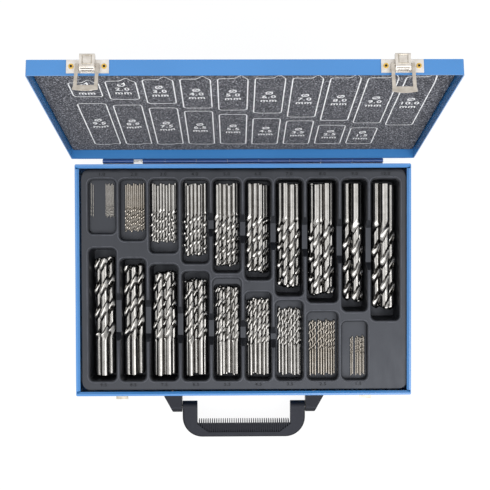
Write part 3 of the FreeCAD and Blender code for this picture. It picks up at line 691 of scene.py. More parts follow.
@dataclass
class TwistDrill:
    """One straight-shank twist drill, drawn along Z with its shank end at the origin.

    Attributes:
        edge_pull: how near the flute's curve is drawn to the axis behind the cutting edge.
        heel_pull: the same before the next heel.
        heel_guide: where the curve's point for the heel lies, as a share of the flute's span.
        land_end: where the land ends, as a share of half a turn.
        margin_end: where the margin ends and the flute begins, as a share of half a turn.
        relief_share: how far the land lies below the margin, as a share of the radius.
        runout_before: start of the flutes' run-out before their full length, in diameters.
        runout_length: length over which the flutes reach their depth, in diameters.
        chamfer: length of the chamfer at the shank's end, in diameters.
        end_radius: radius of the shank's end face, in diameters.
        tip_rings: places of the last rings before the tip, as shares of the point's height.
    """

    diameter: float
    length: float
    flute_length: float
    helix_degrees: float
    land_steps: int
    flute_steps: int
    point_degrees: float = 118.0
    edge_pull: float = 0.12
    heel_pull: float = 0.46
    heel_guide: float = 0.6
    land_end: float = 0.43
    margin_end: float = 0.47
    relief_share: float = 0.015
    runout_before: float = 0.8
    runout_length: float = 1.6
    chamfer: float = 0.04
    end_radius: float = 0.44
    tip_rings: tuple[float, ...] = (0.66, 0.33, 0.05)
    ring_turn_degrees: float = 10.0
    sharp_degrees: float = 75.0

    def __post_init__(self) -> None:
        """Find the lead of the helix, the point's height and where the flutes run out."""
        self.lead = math.pi * self.diameter / math.tan(math.radians(self.helix_degrees))
        self.point_slope = math.tan(math.radians(self.point_degrees / 2))
        self.point_height = self.diameter / 2 / self.point_slope
        self.runout = self.length - self.flute_length - self.runout_before * self.diameter

    def section(self, depth: float) -> list[Vector]:
        """Cross-section: two lands, each with a full margin and a flute after it.

        The flute drops steeply at the cutting edge and rises gently to the next heel.

        Args:
            depth: how far the flutes are cut, from 0 at the shank to 1.

        Returns:
            Corners of a ring, from the first heel.
        """
        full = self.diameter / 2
        relieved = full * (1 - self.relief_share * depth)
        span = math.pi * (1 - self.margin_end)
        corners = []
        for half in (0.0, math.pi):
            for step in range(self.land_steps):
                share = self.land_end * step / self.land_steps
                corners.append(around(half + math.pi * share, relieved))
            corners.append(around(half + math.pi * self.land_end, full))
            start = half + math.pi * self.margin_end
            guides = (around(start, full), around(start, full * self.edge_pull),
                      around(start + self.heel_guide * span, full * self.heel_pull),
                      around(start + span, relieved))
            for step in range(self.flute_steps):
                t = step / self.flute_steps
                weights = ((1 - t) ** 3, 3 * (1 - t) ** 2 * t, 3 * (1 - t) * t * t, t ** 3)
                hollow = sum((w * g for w, g in zip(weights, guides)), Vector((0, 0, 0)))
                corners.append(around(start + span * t, full).lerp(hollow, depth))
        return corners

    def stations(self) -> list[float]:
        """Find the places along the axis where the mesh has a ring.

        Returns:
            Heights of the end, the chamfer, the run-out, the flutes' rings and the tip's rings.
        """
        step = self.lead * self.ring_turn_degrees / 360
        reach = self.length - self.point_height - self.runout
        count = max(2, int(reach / step))
        return ([0.0, self.chamfer * self.diameter, self.runout]
                + [self.runout + reach * (i + 1) / count for i in range(count)]
                + [self.length - self.point_height * share for share in self.tip_rings])

    def mesh(self) -> bpy.types.Mesh:
        """Build the whole drill.

        Returns:
            Its mesh.
        """
        points: list[Vector] = []
        rings = self.stations()
        for z in rings:
            fade = min(1.0, max(0.0, (z - self.runout) / (self.runout_length * self.diameter)))
            depth = fade * fade * (3 - 2 * fade)
            limit = (self.diameter * self.end_radius if z == 0
                     else (self.length - z) * self.point_slope)
            turn = 2 * math.pi * max(0.0, z - self.runout) / self.lead
            for corner in self.section(depth):
                reach = min(1.0, limit / corner.length)
                points.append(Matrix.Rotation(turn, 3, "Z") @ corner * reach
                              + Vector((0, 0, z)))
        count = 2 * (self.land_steps + 1 + self.flute_steps)
        faces = [tuple(range(count - 1, -1, -1))]
        for ring in range(len(rings) - 1):
            for index in range(count):
                after = (index + 1) % count
                low, high = ring * count, (ring + 1) * count
                faces.append((low + index, low + after, high + after, high + index))
        last = (len(rings) - 1) * count
        faces.append(tuple(range(last, last + count)))
        mesh = mesh_from(f"twist_drill_{self.diameter / MM:.1f}", points, faces,
                         self.sharp_degrees)
        self.sharpen(mesh, count, rings.index(self.runout) + 2)
        return mesh

    def sharpen(self, mesh: bpy.types.Mesh, count: int, first_cut: int) -> None:
        """Keep sharp what is ground sharp: both ends of the chamfer, each heel and each edge.

        Args:
            mesh: mesh of the drill.
            count: number of corners in a ring.
            first_cut: number of the ring from which the flutes are deep enough.
        """
        ground = {0, self.land_steps + 1}
        for edge in mesh.edges:
            low, high = sorted(edge.vertices)
            ring = low // count
            along = high - low == count and low % (count // 2) in ground
            on_chamfer = ring == high // count and ring in (0, 1)
            if on_chamfer or (along and ring >= first_cut):
                edge.use_edge_sharp = True


@dataclass(frozen=True)
class Grade:
    """What changes with a drill's size, up to a size in millimetres.

    The mesh has fewer steps over a land and a flute where a drill is too thin to show them.
    """

    below: float
    tone: Tone
    helix_degrees: float
    land_steps: int
    flute_steps: int


@dataclass
class DrillStock:
    """All drills of every size, one piece for each drill, in the places that the solids hold."""

    prefix: str = "drill_bits_"
    body_prefix: str = "bits_"
    slot: str = "drill_steel"
    seed: int = 7
    end_share: float = 0.2
    grades: tuple[Grade, ...] = (
        Grade(1.2, Tone.GREY, 24.0, 4, 6), Grade(2.6, Tone.WARM, 24.0, 4, 6),
        Grade(3.6, Tone.BRIGHT, 24.0, 6, 9), Grade(4.6, Tone.BRIGHT, 27.0, 6, 9),
        Grade(5.6, Tone.BRIGHT, 30.0, 6, 9), Grade(math.inf, Tone.BRIGHT, 30.0, 8, 12))

    def build(self) -> None:
        """Build and dress the drills of every size."""
        chance = random.Random(self.seed)
        for node in sorted(frame["nodes"]):
            if node.startswith(self.prefix):
                self.build_size(node, chance)

    def build_size(self, node: str, chance: random.Random) -> None:
        """Build the drills of one size.

        Args:
            node: CAD node that holds their solids.
            chance: source of the roll of each drill.
        """
        label = node[len(self.prefix):]
        size = float(label.replace("_", "."))
        grade = next(grade for grade in self.grades if size < grade.below)
        finish = GroundSteel(f"ground_high_speed_steel_{grade.tone.name.lower()}", grade.tone)
        shared: bpy.types.Mesh | None = None
        for number, points in enumerate(islands(node), 1):
            shank, tip = self.ends(points, size * MM)
            if shared is None:
                shared = TwistDrill(size * MM, (tip - shank).length, FLUTE_LENGTHS[size] * MM,
                                    grade.helix_degrees, grade.land_steps,
                                    grade.flute_steps).mesh()
            piece = new_piece(f"drill_{label}_no_{number}", shared, finish,
                              self.body_prefix + label)
            roll = Matrix.Rotation(chance.uniform(0, 2 * math.pi), 4, "Z")
            aim = (tip - shank).to_track_quat("Z", "Y").to_matrix().to_4x4()
            piece.matrix_world = Matrix.Translation(shank) @ aim @ roll
            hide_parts(node)

    def ends(self, points: list[Vector], diameter: float) -> tuple[Vector, Vector]:
        """Shank end's centre and tip of a drill's solid.

        Args:
            points: corners of the solid.
            diameter: size in metres.

        Returns:
            The two ends.
        """
        middle = sum(points, Vector()) / len(points)
        first = max(points, key=lambda p: (p - middle).length)
        second = max(points, key=lambda p: (p - first).length)
        axis = (second - first).normalized()
        reach = (second - first).dot(axis)
        groups = [[p for p in points
                   if abs((p - first).dot(axis) - end) < self.end_share * diameter]
                  for end in (0.0, reach)]
        tip_group, shank_group = sorted(groups, key=len)
        return sum(shank_group, Vector()) / len(shank_group), tip_group[0]


@dataclass(frozen=True)
class Cell:
    """One cell of the print on the foam: its drill size, its row, its middle and its edges."""

    size: float
    row: Row
    centre: float
    low: float
    high: float
    word_shift: float

    @property
    def label(self) -> str:
        """The size as names spell it."""
        return f"{self.size:.1f}".replace(".", "_")


@dataclass
class LidLining:
    """Foam in the lid, dented where it has pressed on the drills, with its screened layout.

    Attributes:
        dent_offset: how far a rear dent lies beside the cell's middle, as a share of its width.
        dent_offset_per_mm: what each millimetre of drill size adds to that.
        groove_offset: how far the groove of a front cell lies beside its middle.
        groove_from: size in millimetres above which a front cell's drills leave a groove.
        groove_inset: how far inside the cell's lower edge the groove begins.
        deepest_share: deepest that a dent may be, as a share of the pad's thickness.
        rear_cells: size, lower edge, upper edge and shift of the words, in millimetres.
        front_cells: size, lower edge and shift of the words, in millimetres.
    """

    node: str = "foam_pad"
    body: str = "lid"
    slot: str = "foam"
    grid: float = 2.0 * MM
    edge_round: float = 0.8 * MM
    sharp_degrees: float = 60.0
    dent_depth: float = 2.7 * MM
    dent_radius: float = 3.4 * MM
    dent_length: float = 9.0 * MM
    dent_offset: float = 0.13
    dent_offset_per_mm: float = 0.028
    groove_depth: float = 0.9 * MM
    groove_offset: float = 0.27
    groove_from: float = 7.0
    groove_inset: float = 13.6 * MM
    deepest_share: float = 0.8
    ripple: float = 0.45 * MM
    ripple_length: float = 16.0 * MM
    ink_height: float = 0.12 * MM
    line_width: float = 1.05 * MM
    line_wobble: float = 0.35
    wobble_length: float = 4.0 * MM
    first_column: float = -138.0 * MM
    column_pitch: float = 31.95 * MM
    cell_width: float = 25.8 * MM
    cell_radius: float = 3.5 * MM
    corner_steps: int = 4
    front_row_edge: float = 100.2 * MM
    text_size: float = 9.9 * MM
    text_widen: float = 0.93
    text_pitch: float = 10.0 * MM
    rear_cells: tuple[tuple[float, float, float, float], ...] = (
        (1.0, -84, -47.7, -1), (2.0, -87.5, -40.5, -3.4), (3.0, -91.2, -28.9, -1),
        (4.0, -92.5, -15.7, 0), (5.0, -93.4, -9.6, 0.3), (6.0, -94.3, -0.5, 1.3),
        (7.0, -94.3, 11.7, 1.5), (8.0, -94.6, 22.2, 0), (9.0, -94.8, 30.5, 0),
        (10.0, -97, 37.1, 2.0))
    front_cells: tuple[tuple[float, float, float], ...] = (
        (9.5, -28.9, -5.1), (8.5, -24.5, -5), (7.5, -16.2, -1.8), (6.5, -6.6, -2.5),
        (5.5, 3.4, -2.5), (4.5, 16.1, -1.7), (3.5, 23.4, -1), (2.5, 37.6, -1),
        (1.5, 45.8, -1.3))

    def __post_init__(self) -> None:
        """Find the pad's box with the lid shut, its face's grid and the printed cells."""
        self.turn = lid_turn()
        back = self.turn.inverted()
        self.low, self.high = box_round(back @ v.co
                                        for v in frame["nodes"][self.node].data.vertices)
        self.across = int((self.high.x - self.low.x) / self.grid)
        self.along = int((self.high.y - self.low.y) / self.grid)
        self.cells = [Cell(size, Row.REAR, self.column(number), low * MM, high * MM, shift * MM)
                      for number, (size, low, high, shift) in enumerate(self.rear_cells)]
        self.cells += [Cell(size, Row.FRONT, self.column(number), low * MM, self.front_row_edge,
                            shift * MM)
                       for number, (size, low, shift) in enumerate(self.front_cells)]

    def column(self, number: int) -> float:
        """X of the middle of a column, counted from 0 at the left."""
        return self.first_column + number * self.column_pitch

    def relief(self, x: float, y: float) -> float:
        """How deep the foam's face is dented at a place.

        Args:
            x: place across the lid.
            y: place along the shut lid.

        Returns:
            Depth in metres, positive into the foam.
        """
        depth = 0.0
        for cell in self.cells:
            beside = x - cell.centre
            if abs(beside) > self.cell_width:
                continue
            if cell.row is Row.REAR:
                offset = self.dent_offset + self.dent_offset_per_mm * cell.size
                across = (beside - self.cell_width * offset) / self.dent_radius
                along = (y - cell.low) / self.dent_length
                depth += self.dent_depth * math.exp(-across ** 2 - along ** 2)
            elif cell.size > self.groove_from:
                across = (beside - self.groove_offset * self.cell_width) / self.dent_radius
                away = max(0.0, cell.low + self.groove_inset - y, y - cell.high)
                along = away / self.dent_length
                depth += self.groove_depth * math.exp(-across ** 2 - along ** 2)
        return depth + self.ripple * noise.noise(Vector((x, y, 0)) / self.ripple_length)

    def on_face(self, x: float, y: float, lift: float = 0.0) -> Vector:
        """Place on the foam's face, turned to the open lid.

        Args:
            x: place across the lid.
            y: place along the shut lid.
            lift: height above the face.

        Returns:
            The place in the object's own frame.
        """
        deepest = (self.high.z - self.low.z) * self.deepest_share
        sink = min(max(self.relief(x, y), 0.0), deepest)
        return self.turn @ Vector((x, y, self.low.z + sink - lift))

    def grid_place(self, i: int, j: int) -> tuple[float, float]:
        """X and y of the grid's corner in column i and line j."""
        return (self.low.x + (self.high.x - self.low.x) * i / self.across,
                self.low.y + (self.high.y - self.low.y) * j / self.along)

    def build_foam(self) -> None:
        """Build the foam slab, with its face as a fine grid."""
        across, along = self.across, self.along
        points = []
        for j in range(along + 1):
            for i in range(across + 1):
                x, y = self.grid_place(i, j)
                edge = min(x - self.low.x, self.high.x - x, y - self.low.y, self.high.y - y)
                fall = self.edge_round * max(0.0, 1 - edge / (2 * self.edge_round)) ** 2
                points.append(self.on_face(x, y, -fall))
        stride = across + 1
        faces: list[tuple[int, ...]] = []
        for j in range(along):
            for i in range(across):
                low = j * stride + i
                faces.append((low, low + stride, low + stride + 1, low + 1))
        rim = ([(i, 0) for i in range(across)] + [(across, j) for j in range(along)]
               + [(i, along) for i in range(across, 0, -1)]
               + [(0, j) for j in range(along, 0, -1)])
        base = len(points)
        for i, j in rim:
            points.append(self.turn @ Vector((*self.grid_place(i, j), self.high.z)))
        count = len(rim)
        for index, (i, j) in enumerate(rim):
            after = (index + 1) % count
            next_i, next_j = rim[after]
            faces.append((j * stride + i, next_j * stride + next_i, base + after, base + index))
        faces.append(tuple(base + index for index in range(count)))
        mesh = mesh_from("lid_foam", points, faces, self.sharp_degrees)
        foam = new_piece("lid_foam", mesh, FOAM, self.body)
        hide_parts(self.node)

    def outline(self, cell: Cell) -> list[tuple[float, float]]:
        """Closed outline of a cell with round corners, in steps of about the grid's.

        Args:
            cell: the cell.

        Returns:
            Places round the outline.
        """
        radius = self.cell_radius
        half = self.cell_width / 2 - radius
        left, right = cell.centre - half, cell.centre + half
        low, high = cell.low + radius, cell.high - radius
        rounded = []
        for x, y, start in ((right, high, 0), (left, high, 90), (left, low, 180),
                            (right, low, 270)):
            for step in range(self.corner_steps + 1):
                angle = math.radians(start + 90 * step / self.corner_steps)
                rounded.append((x + radius * math.cos(angle), y + radius * math.sin(angle)))
        places = []
        for (x1, y1), (x2, y2) in zip(rounded, rounded[1:] + rounded[:1]):
            parts = max(1, round(math.hypot(x2 - x1, y2 - y1) / self.grid))
            for part in range(parts):
                share = part / parts
                places.append((x1 + (x2 - x1) * share, y1 + (y2 - y1) * share))
        return places

    def build_outline(self, cell: Cell) -> None:
        """Print the outline of a cell, as a flat band on the foam.

        Args:
            cell: the cell.
        """
        places = self.outline(cell)
        count = len(places)
        points = []
        for index, (x, y) in enumerate(places):
            before, after = places[index - 1], places[(index + 1) % count]
            along = Vector((after[0] - before[0], after[1] - before[1])).normalized()
            # The third coordinate keeps this wave apart from the foam's own ripple.
            wave = noise.noise(Vector((x, y, 0.3)) / self.wobble_length)
            half = self.line_width / 2 * (1 + self.line_wobble * wave)
            for side in (-1, 1):
                points.append(self.on_face(x - along.y * half * side,
                                           y + along.x * half * side, self.ink_height))
        faces = []
        for index in range(count):
            here, there = 2 * index, 2 * ((index + 1) % count)
            faces.append((here, there, there + 1, here + 1))
        name = f"printed_outline_{cell.label}"
        new_piece(name, mesh_from(name, points, faces), INK, self.body)

    def build_words(self, cell: Cell) -> None:
        """Print the diameter sign, size and unit in a cell.

        Args:
            cell: the cell.
        """
        middle = (cell.low + cell.high) / 2 + cell.word_shift
        for name, text, line in (("sign", "Ø", -1), ("size", f"{cell.size:.1f}", 0),
                                 ("unit", "mm", 1)):
            flat = text_mesh(text, self.text_size, self.text_widen)
            y = middle + line * self.text_pitch
            for vertex in flat.vertices:
                x_at, y_at = vertex.co.x, vertex.co.y
                vertex.co = self.on_face(cell.centre + x_at, y - y_at, self.ink_height)
            flat.flip_normals()
            new_piece(f"printed_{name}_{cell.label}", flat, INK, self.body)

    def build(self) -> None:
        """Build the foam and its print."""
        self.build_foam()
        for cell in self.cells:
            self.build_outline(cell)
        for cell in self.cells:
            self.build_words(cell)


@dataclass
class TrayMarks:
    """Size numbers and fine beads that the mould has left on the tray's face, and its lip.

    Attributes:
        level: how near a face must lie to a height to count as part of that height.
        rear_from: y above which a drill's box belongs to the rear row.
        lip_from: y above which a corner of the face belongs to its rear edge.
        lip_profile: how far out and up the lip's lines lie from that edge, in millimetres.
        shortest_mouth: span of the smallest pocket mouth that has a bead.
        longest_mouth: span above which an edge is the tray's own outline.
        bead_section: shares of the bead's width and height, from inside to outside.
    """

    body: str = "base"
    slot: str = "tray_plastic"
    up: float = 0.999
    level_step: float = 0.1 * MM
    level: float = 0.06 * MM
    number_size: float = 4.6 * MM
    number_widen: float = 1.1
    raised: float = 0.35 * MM
    front_line: float = -109.7 * MM
    rear_line: float = 110.2 * MM
    rear_from: float = 90.0 * MM
    sharp_degrees: float = 80.0
    lip_from: float = 98.0 * MM
    lip_profile: tuple[tuple[float, float], ...] = (
        (-0.3, 0.02), (2.9, 0.0), (3.7, -0.5), (4.0, -1.5), (4.1, -6.0))
    shortest_mouth: float = 20.0 * MM
    longest_mouth: float = 300.0 * MM
    bead_step: float = 1.0 * MM
    bead_away: float = 1.2 * MM
    bead_width: float = 0.9 * MM
    bead_height: float = 0.35 * MM
    bead_section: tuple[tuple[float, float], ...] = (
        (-0.5, -0.1), (-0.25, 0.8), (0.0, 1.0), (0.25, 0.8), (0.5, -0.1))

    def build(self) -> None:
        """Build the numbers, the beads and the lip."""
        top = self.face_level()
        for node in sorted(frame["nodes"]):
            if node.startswith(DrillStock.prefix):
                self.build_number(node, top)
        self.build_beads(top)
        self.build_lip(top)

    def face_level(self) -> float:
        """Find the tray's face: the highest level that is nearly as wide as the widest.

        Returns:
            Its height.
        """
        areas: dict[int, float] = {}
        for face in frame["nodes"]["tray"].data.polygons:
            if face.normal.z > self.up:
                key = round(face.center.z / self.level_step)
                areas[key] = areas.get(key, 0.0) + face.area
        wide = max(areas.values()) / 2
        return max(key for key, area in areas.items() if area > wide) * self.level_step

    def build_number(self, node: str, top: float) -> None:
        """Raise a size number beside the shank end of one pocket.

        Args:
            node: CAD node of that size's drills.
            top: height of the tray's face.
        """
        label = node[len(DrillStock.prefix):]
        low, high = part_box(node)
        y = self.rear_line if high.y > self.rear_from else self.front_line
        mesh = text_mesh(label.replace("_", "."), self.number_size, self.number_widen,
                         self.raised)
        mesh.transform(Matrix.Translation(((low.x + high.x) / 2, y, top)))
        # The numbers' darker styrene is painted shade.
        new_piece(f"moulded_number_{label}", mesh, SHADED_STYRENE, self.body)

    def face_work(self, top: float) -> tuple[bmesh.types.BMesh, set[bmesh.types.BMFace]]:
        """Take the tray's mesh to work on, and find the faces of it that make up the top.

        Args:
            top: height of the tray's face.

        Returns:
            The mesh, to be freed, and its faces at that height.
        """
        work = bmesh.new()
        work.from_mesh(frame["nodes"]["tray"].data)
        bmesh.ops.remove_doubles(work, verts=work.verts, dist=SAME_CORNER)
        return work, {f for f in work.faces if f.normal.z > self.up
                      and abs(f.calc_center_median().z - top) < self.level}

    def mouth_chains(self, top: float) -> list[tuple[list[Vector], bool]]:
        """Edges where the tray's face ends, found on its solid.

        Args:
            top: height of the tray's face.

        Returns:
            Corner places of each chain of edges, in order, and whether it is closed.
        """
        work, flat = self.face_work(top)
        rim = {e for f in flat for e in f.edges
               if sum(1 for other in e.link_faces if other in flat) == 1}
        chains = []
        for edge in sorted(rim, key=lambda e: e.index):
            if edge not in rim:
                continue
            rim.remove(edge)
            chain = list(edge.verts)
            # The chain grows at its end, is turned round, and grows at its other end.
            for _ in range(2):
                step: bmesh.types.BMEdge | None = edge
                while step:
                    step = next((e for e in chain[-1].link_edges if e in rim), None)
                    if step:
                        rim.remove(step)
                        chain.append(step.other_vert(chain[-1]))
                chain.reverse()
            closed = chain[0] is chain[-1]
            chains.append(([v.co.copy() for v in chain[:-1 if closed else None]], closed))
        work.free()
        return chains

    def rear_edge(self, top: float) -> list[Vector]:
        """Rear part of the face's outer outline, from left to right, which bulges outward.

        Args:
            top: height of the tray's face.

        Returns:
            Its corner places.
        """
        work, flat = self.face_work(top)
        places = sorted({(v.co.x, v.co.y) for f in flat for v in f.verts
                         if v.co.y > self.lip_from})
        work.free()
        hull: list[tuple[float, float]] = []
        for x, y in places:
            while len(hull) > 1 and ((hull[-1][0] - hull[-2][0]) * (y - hull[-2][1])
                                     >= (hull[-1][1] - hull[-2][1]) * (x - hull[-2][0])):
                hull.pop()
            hull.append((x, y))
        return [Vector((x, y, top)) for x, y in hull]

    def build_lip(self, top: float) -> None:
        """Draw the rolled lip that carries the face on towards the rear wall.

        Args:
            top: height of the tray's face.
        """
        places = self.rear_edge(top)
        points = [Vector((p.x, p.y + out * MM, top + rise * MM))
                  for p in places for out, rise in self.lip_profile]
        wide = len(self.lip_profile)
        faces = [(i * wide + j, i * wide + j + 1, (i + 1) * wide + j + 1, (i + 1) * wide + j)
                 for i in range(len(places) - 1) for j in range(wide - 1)]
        mesh = mesh_from("tray_rear_lip", points, faces, self.sharp_degrees)
        new_piece("tray_rear_lip", mesh, STYRENE, self.body)

    def build_beads(self, top: float) -> None:
        """Draw a low round bead just outside each pocket's mouth.

        Args:
            top: height of the tray's face.
        """
        wide = len(self.bead_section)
        for number, (chain, closed) in enumerate(self.mouth_chains(top), 1):
            if not self.shortest_mouth < self.span(chain) < self.longest_mouth:
                continue
            places = self.evened(chain)
            count = len(places)
            area = sum(a.x * b.y - b.x * a.y for a, b in zip(places, places[1:] + places[:1]))
            points = []
            for index, here in enumerate(places):
                before = places[index - 1] if closed or index else here
                after = places[(index + 1) % count] if closed or index < count - 1 else here
                along = (after - before).normalized()
                out = Vector((along.y, -along.x, 0)) * (1 if area > 0 else -1)
                for share, lift in self.bead_section:
                    flat = here + out * (self.bead_away + share * self.bead_width)
                    points.append(Vector((flat.x, flat.y, top + lift * self.bead_height)))
            faces = []
            for index in range(count if closed else count - 1):
                here, there = wide * index, wide * ((index + 1) % count)
                for side in range(wide - 1):
                    faces.append((here + side, there + side, there + side + 1, here + side + 1))
            name = f"mouth_bead_{number}"
            mesh = mesh_from(name, points, faces, self.sharp_degrees)
            # The beads' lighter styrene is a painted highlight.
            new_piece(name, mesh, BEAD_HIGHLIGHT_STYRENE, self.body)

    @staticmethod
    def span(chain: list[Vector]) -> float:
        """Distance across a chain of places along X."""
        return max(p.x for p in chain) - min(p.x for p in chain)

    def evened(self, chain: list[Vector]) -> list[Vector]:
        """Merge the short edges of a chain into even steps.

        Args:
            chain: corner places.

        Returns:
            The kept places.
        """
        kept = [chain[0]]
        for place in chain[1:]:
            if (place - kept[-1]).length >= self.bead_step:
                kept.append(place)
        if (kept[-1] - kept[0]).length < self.bead_step and len(kept) > 3:
            kept.pop()
        return kept


@dataclass
class LatchDetails:
    """Pressed frames on the levers, and near-black discs painted as the shade in the eyelets'
    bores.

    Attributes:
        frame_profile: shares of the frame line's width and height, from outside to inside.
        bore_share: radius of a bore as a share of the eyelet's width.
        bore_stands: how far a bore's disc stands proud of the eyelet's face.
    """

    frame_wide: float = 8.4 * MM
    frame_tall: float = 8.0 * MM
    frame_from_end: float = 1.2 * MM
    line_wide: float = 0.8 * MM
    line_high: float = 0.22 * MM
    frame_profile: tuple[tuple[float, float], ...] = ((0.0, -0.1), (0.5, 1.0), (1.0, -0.1))
    bore_share: float = 0.24
    bore_stands: float = 0.1 * MM
    bore_corners: int = 20

    def __post_init__(self) -> None:
        """Find how the lid's places turn from shut to open."""
        self.turn = lid_turn()

    def shut_box(self, points: Iterable[Vector]) -> tuple[Vector, Vector]:
        """Corners of the box round some places once the lid is turned shut.

        Args:
            points: the places, with the lid open.

        Returns:
            Lowest and highest corner.
        """
        back = self.turn.inverted()
        return box_round(back @ p for p in points)

    def build_frame(self, side: str) -> None:
        """Raise the pressed frame on one lever.

        Args:
            side: left or right.
        """
        node = f"latch_lever_{side}"
        low, high = self.shut_box(v.co for v in frame["nodes"][node].data.vertices)
        middle = (low.x + high.x) / 2
        end = high.z - self.frame_from_end - self.frame_tall
        points = []
        for inset, lift in self.frame_profile:
            inward = inset * self.line_wide
            half = self.frame_wide / 2 - inward
            face = low.y - lift * self.line_high
            bottom, top = end + inward, end + self.frame_tall - inward
            for x, z in ((-half, bottom), (half, bottom), (half, top), (-half, top)):
                points.append(self.turn @ Vector((middle + x, face, z)))
        faces = [(ring * 4 + i, ring * 4 + (i + 1) % 4, ring * 4 + 4 + (i + 1) % 4,
                  ring * 4 + 4 + i)
                 for ring in range(len(self.frame_profile) - 1) for i in range(4)]
        mesh = mesh_from(f"lever_frame_{side}", points, faces)
        # The frame is pressed in the nickel lever itself; its darker zinc colour is painted shade
        # along the pressed lines.
        new_piece(f"lever_frame_{side}", mesh, ZINC, f"lever_{side}")

    def build_bore_shade(self, number: int, points: list[Vector]) -> None:
        """Paint the shade in the bore of an eyelet as a near-black disc at its mouth.

        Args:
            number: number of the eyelet.
            points: corners of the eyelet's solid.
        """
        low, high = self.shut_box(points)
        middle = (low + high) / 2
        radius = (high.x - low.x) * self.bore_share
        corners = []
        for index in range(self.bore_corners):
            out = around(2 * math.pi * index / self.bore_corners, radius)
            corners.append(self.turn @ Vector((middle.x + out.x, low.y - self.bore_stands,
                                               middle.z + out.y)))
        mesh = mesh_from(f"eyelet_bore_{number}", corners, [tuple(range(len(corners)))])
        # The near-black disc is painted shade in the eyelet's bore.
        new_piece(f"eyelet_bore_{number}", mesh, BORE_SHADE_PAINT, "lid")

    def build(self) -> None:
        """Build the details of both latches."""
        for side in ("left", "right"):
            self.build_frame(side)
        for number, points in enumerate(islands("latch_eyelets"), 1):
            self.build_bore_shade(number, points)


@dataclass
class CarryingCase:
    """The case's own solids, each dressed in its finish, and the fold under the hinge.

    Attributes:
        finishes: finish of the nodes whose names begin alike; the first that fits holds.
        fold_spans: left and right end of each strip of the fold, in millimetres.
    """

    finishes: tuple[tuple[str, Finish], ...] = (
        ("base_shell", ENAMEL), ("lid_shell", ENAMEL), ("hinge_leaf", HINGE_ENAMEL),
        ("hinge_pin", PIN_STEEL), ("tray", STYRENE), ("handle_pins", ZINC),
        ("handle_bracket_rivets", ZINC), ("handle", NYLON), ("latch_eyelets", BRASS),
        ("latch_lever", FOLDED_NICKEL), ("latch_bail", STRIP_ZINC), ("latch_", NICKEL),
        ("catch_", ZINC))
    fold_spans: tuple[tuple[float, float], ...] = (
        (-146.0, -114.1), (-104.4, 80.9), (114.1, 146.0))
    fold_near: float = 121.5 * MM
    fold_far: float = 124.4 * MM
    fold_level: float = 31.4 * MM
    fold_thick: float = 0.6 * MM
    fold_slot: str = "navy_enamel"

    def build_fold(self) -> None:
        """Fold of the base's leaf that closes the view past the knuckles."""
        for number, (first, last) in enumerate(self.fold_spans, 1):
            points = [Vector((x * MM, y, self.fold_level + lift))
                      for x in (first, last) for y in (self.fold_near, self.fold_far)
                      for lift in (-self.fold_thick, 0.0)]
            faces = [(0, 1, 3, 2), (4, 6, 7, 5), (0, 4, 5, 1), (2, 3, 7, 6), (1, 5, 7, 3),
                     (0, 2, 6, 4)]
            mesh = mesh_from(f"hinge_fold_{number}", points, faces)
            new_piece(f"hinge_fold_{number}", mesh, HINGE_ENAMEL, "base")

    def dress(self, node: str) -> None:
        """Give a CAD node its finish, unless a detailed piece stands for it.

        Args:
            node: name of the node.
        """
        finish = next((finish for start, finish in self.finishes if node.startswith(start)), None)
        if finish:
            solid = frame["nodes"][node]
            solid.data.materials.clear()
            solid.data.materials.append(finish.material())
            log.info("%s: dressed as %s", node, finish.name)

    def build(self) -> None:
        """Build the fold and dress every carried-over solid."""
        self.build_fold()
        for node in sorted(frame["nodes"]):
            self.dress(node)


@dataclass(frozen=True)
class Softbox:
    """One soft lamp: where it hangs, its two sides in metres and its power in watts."""

    place: tuple[float, float, float]
    sides: tuple[float, float]
    power: float


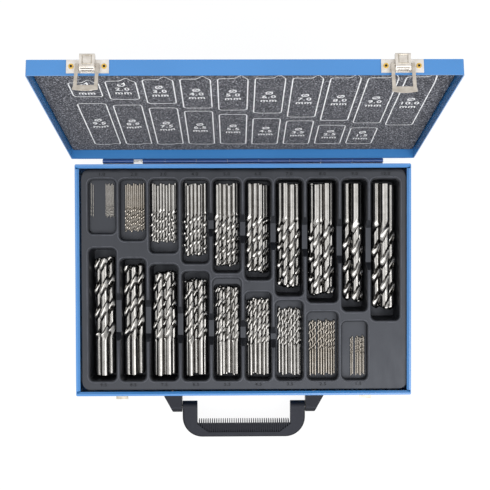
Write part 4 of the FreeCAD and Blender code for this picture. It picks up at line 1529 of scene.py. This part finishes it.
@dataclass
class Studio:
    """Paper sweep, soft lights and the camera."""

    camera_at: tuple[float, float, float] = (-0.00946, 0.0629, 1.1419)
    pitch: float = 0.0241
    yaw: float = 0.0101
    roll: float = 0.0037
    focal_px: float = 1060.9
    frame_px: float = 490.0
    sensor_mm: float = 36.0
    nearest: float = 0.05
    farthest: float = 20.0
    floor_size: float = 6.0
    floor_gap: float = 0.2 * MM
    world_level: float = 0.8
    aim: tuple[float, float, float] = (0.0, 0.0, 0.05)
    softboxes: tuple[Softbox, ...] = (
        Softbox((0.3, -0.7, 1.35), (1.8, 0.9), 20.0),
        Softbox((-0.7, 0.15, 1.2), (0.6, 1.2), 3.0),
        Softbox((0.8, 0.15, 1.2), (0.6, 1.2), 2.0))

    def build_camera(self) -> None:
        """Camera above the case, looking almost straight down."""
        data = bpy.data.cameras.new("camera")
        data.sensor_width = self.sensor_mm
        data.lens = self.focal_px / self.frame_px * self.sensor_mm
        data.clip_start, data.clip_end = self.nearest, self.farthest
        camera = bpy.data.objects.new("camera", data)
        bpy.context.scene.collection.objects.link(camera)
        turn = (Matrix.Rotation(-self.pitch, 4, "X") @ Matrix.Rotation(-self.yaw, 4, "Y")
                @ Matrix.Rotation(-self.roll, 4, "Z"))
        camera.matrix_world = Matrix.Translation(self.camera_at) @ turn
        bpy.context.scene.camera = camera

    def build_floor(self) -> None:
        """Paper under the case."""
        half = self.floor_size / 2
        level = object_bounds()[0].z - self.floor_gap
        corners = [Vector((x, y, level)) for x, y in
                   ((-half, -half), (half, -half), (half, half), (-half, half))]
        mesh = mesh_from("paper_sweep", corners, [(0, 1, 2, 3)])
        floor = bpy.data.objects.new("paper_sweep", mesh)
        bpy.context.scene.collection.objects.link(floor)
        mesh.materials.append(PAPER.material())
        floor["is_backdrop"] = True

    def build_lights(self) -> None:
        """Softboxes over the case, all aimed at its middle."""
        for number, box in enumerate(self.softboxes, 1):
            lamp = bpy.data.lights.new(f"softbox_{number}", "AREA")
            lamp.shape = "RECTANGLE"
            lamp.size, lamp.size_y = box.sides
            lamp.energy = box.power
            holder = bpy.data.objects.new(f"softbox_{number}", lamp)
            bpy.context.scene.collection.objects.link(holder)
            aim = (Vector(self.aim) - Vector(box.place)).to_track_quat("-Z", "Y")
            holder.matrix_world = Matrix.Translation(box.place) @ aim.to_matrix().to_4x4()

    def build_world(self) -> None:
        """Even pale surroundings, white where the camera or a reflection sees them."""
        world = bpy.data.worlds.new("studio")
        world.use_nodes = True
        tree = world.node_tree
        tree.nodes.clear()
        level = add_node(tree, "MapRange", {"Value": seen_rays(tree), "To Max": 1.0,
                                            "To Min": self.world_level})
        light = add_node(tree, "Background", {"Color": (1, 1, 1, 1), "Strength": level})
        add_node(tree, "OutputWorld", {"Surface": light})
        bpy.context.scene.world = world

    def build(self) -> None:
        """Build the whole studio."""
        self.build_camera()
        self.build_floor()
        self.build_lights()
        self.build_world()
        bpy.context.scene.view_settings.view_transform = "Standard"


def main() -> None:
    """Build every sub-assembly in order."""
    logging.basicConfig(level=logging.INFO, format="%(name)s: %(message)s")
    for assembly in (CarryingCase(), LatchDetails(), DrillStock(), LidLining(), TrayMarks(),
                     Studio()):
        assembly.build()
        log.info("%s is finished", type(assembly).__name__)


if __name__ == "__main__":
    main()
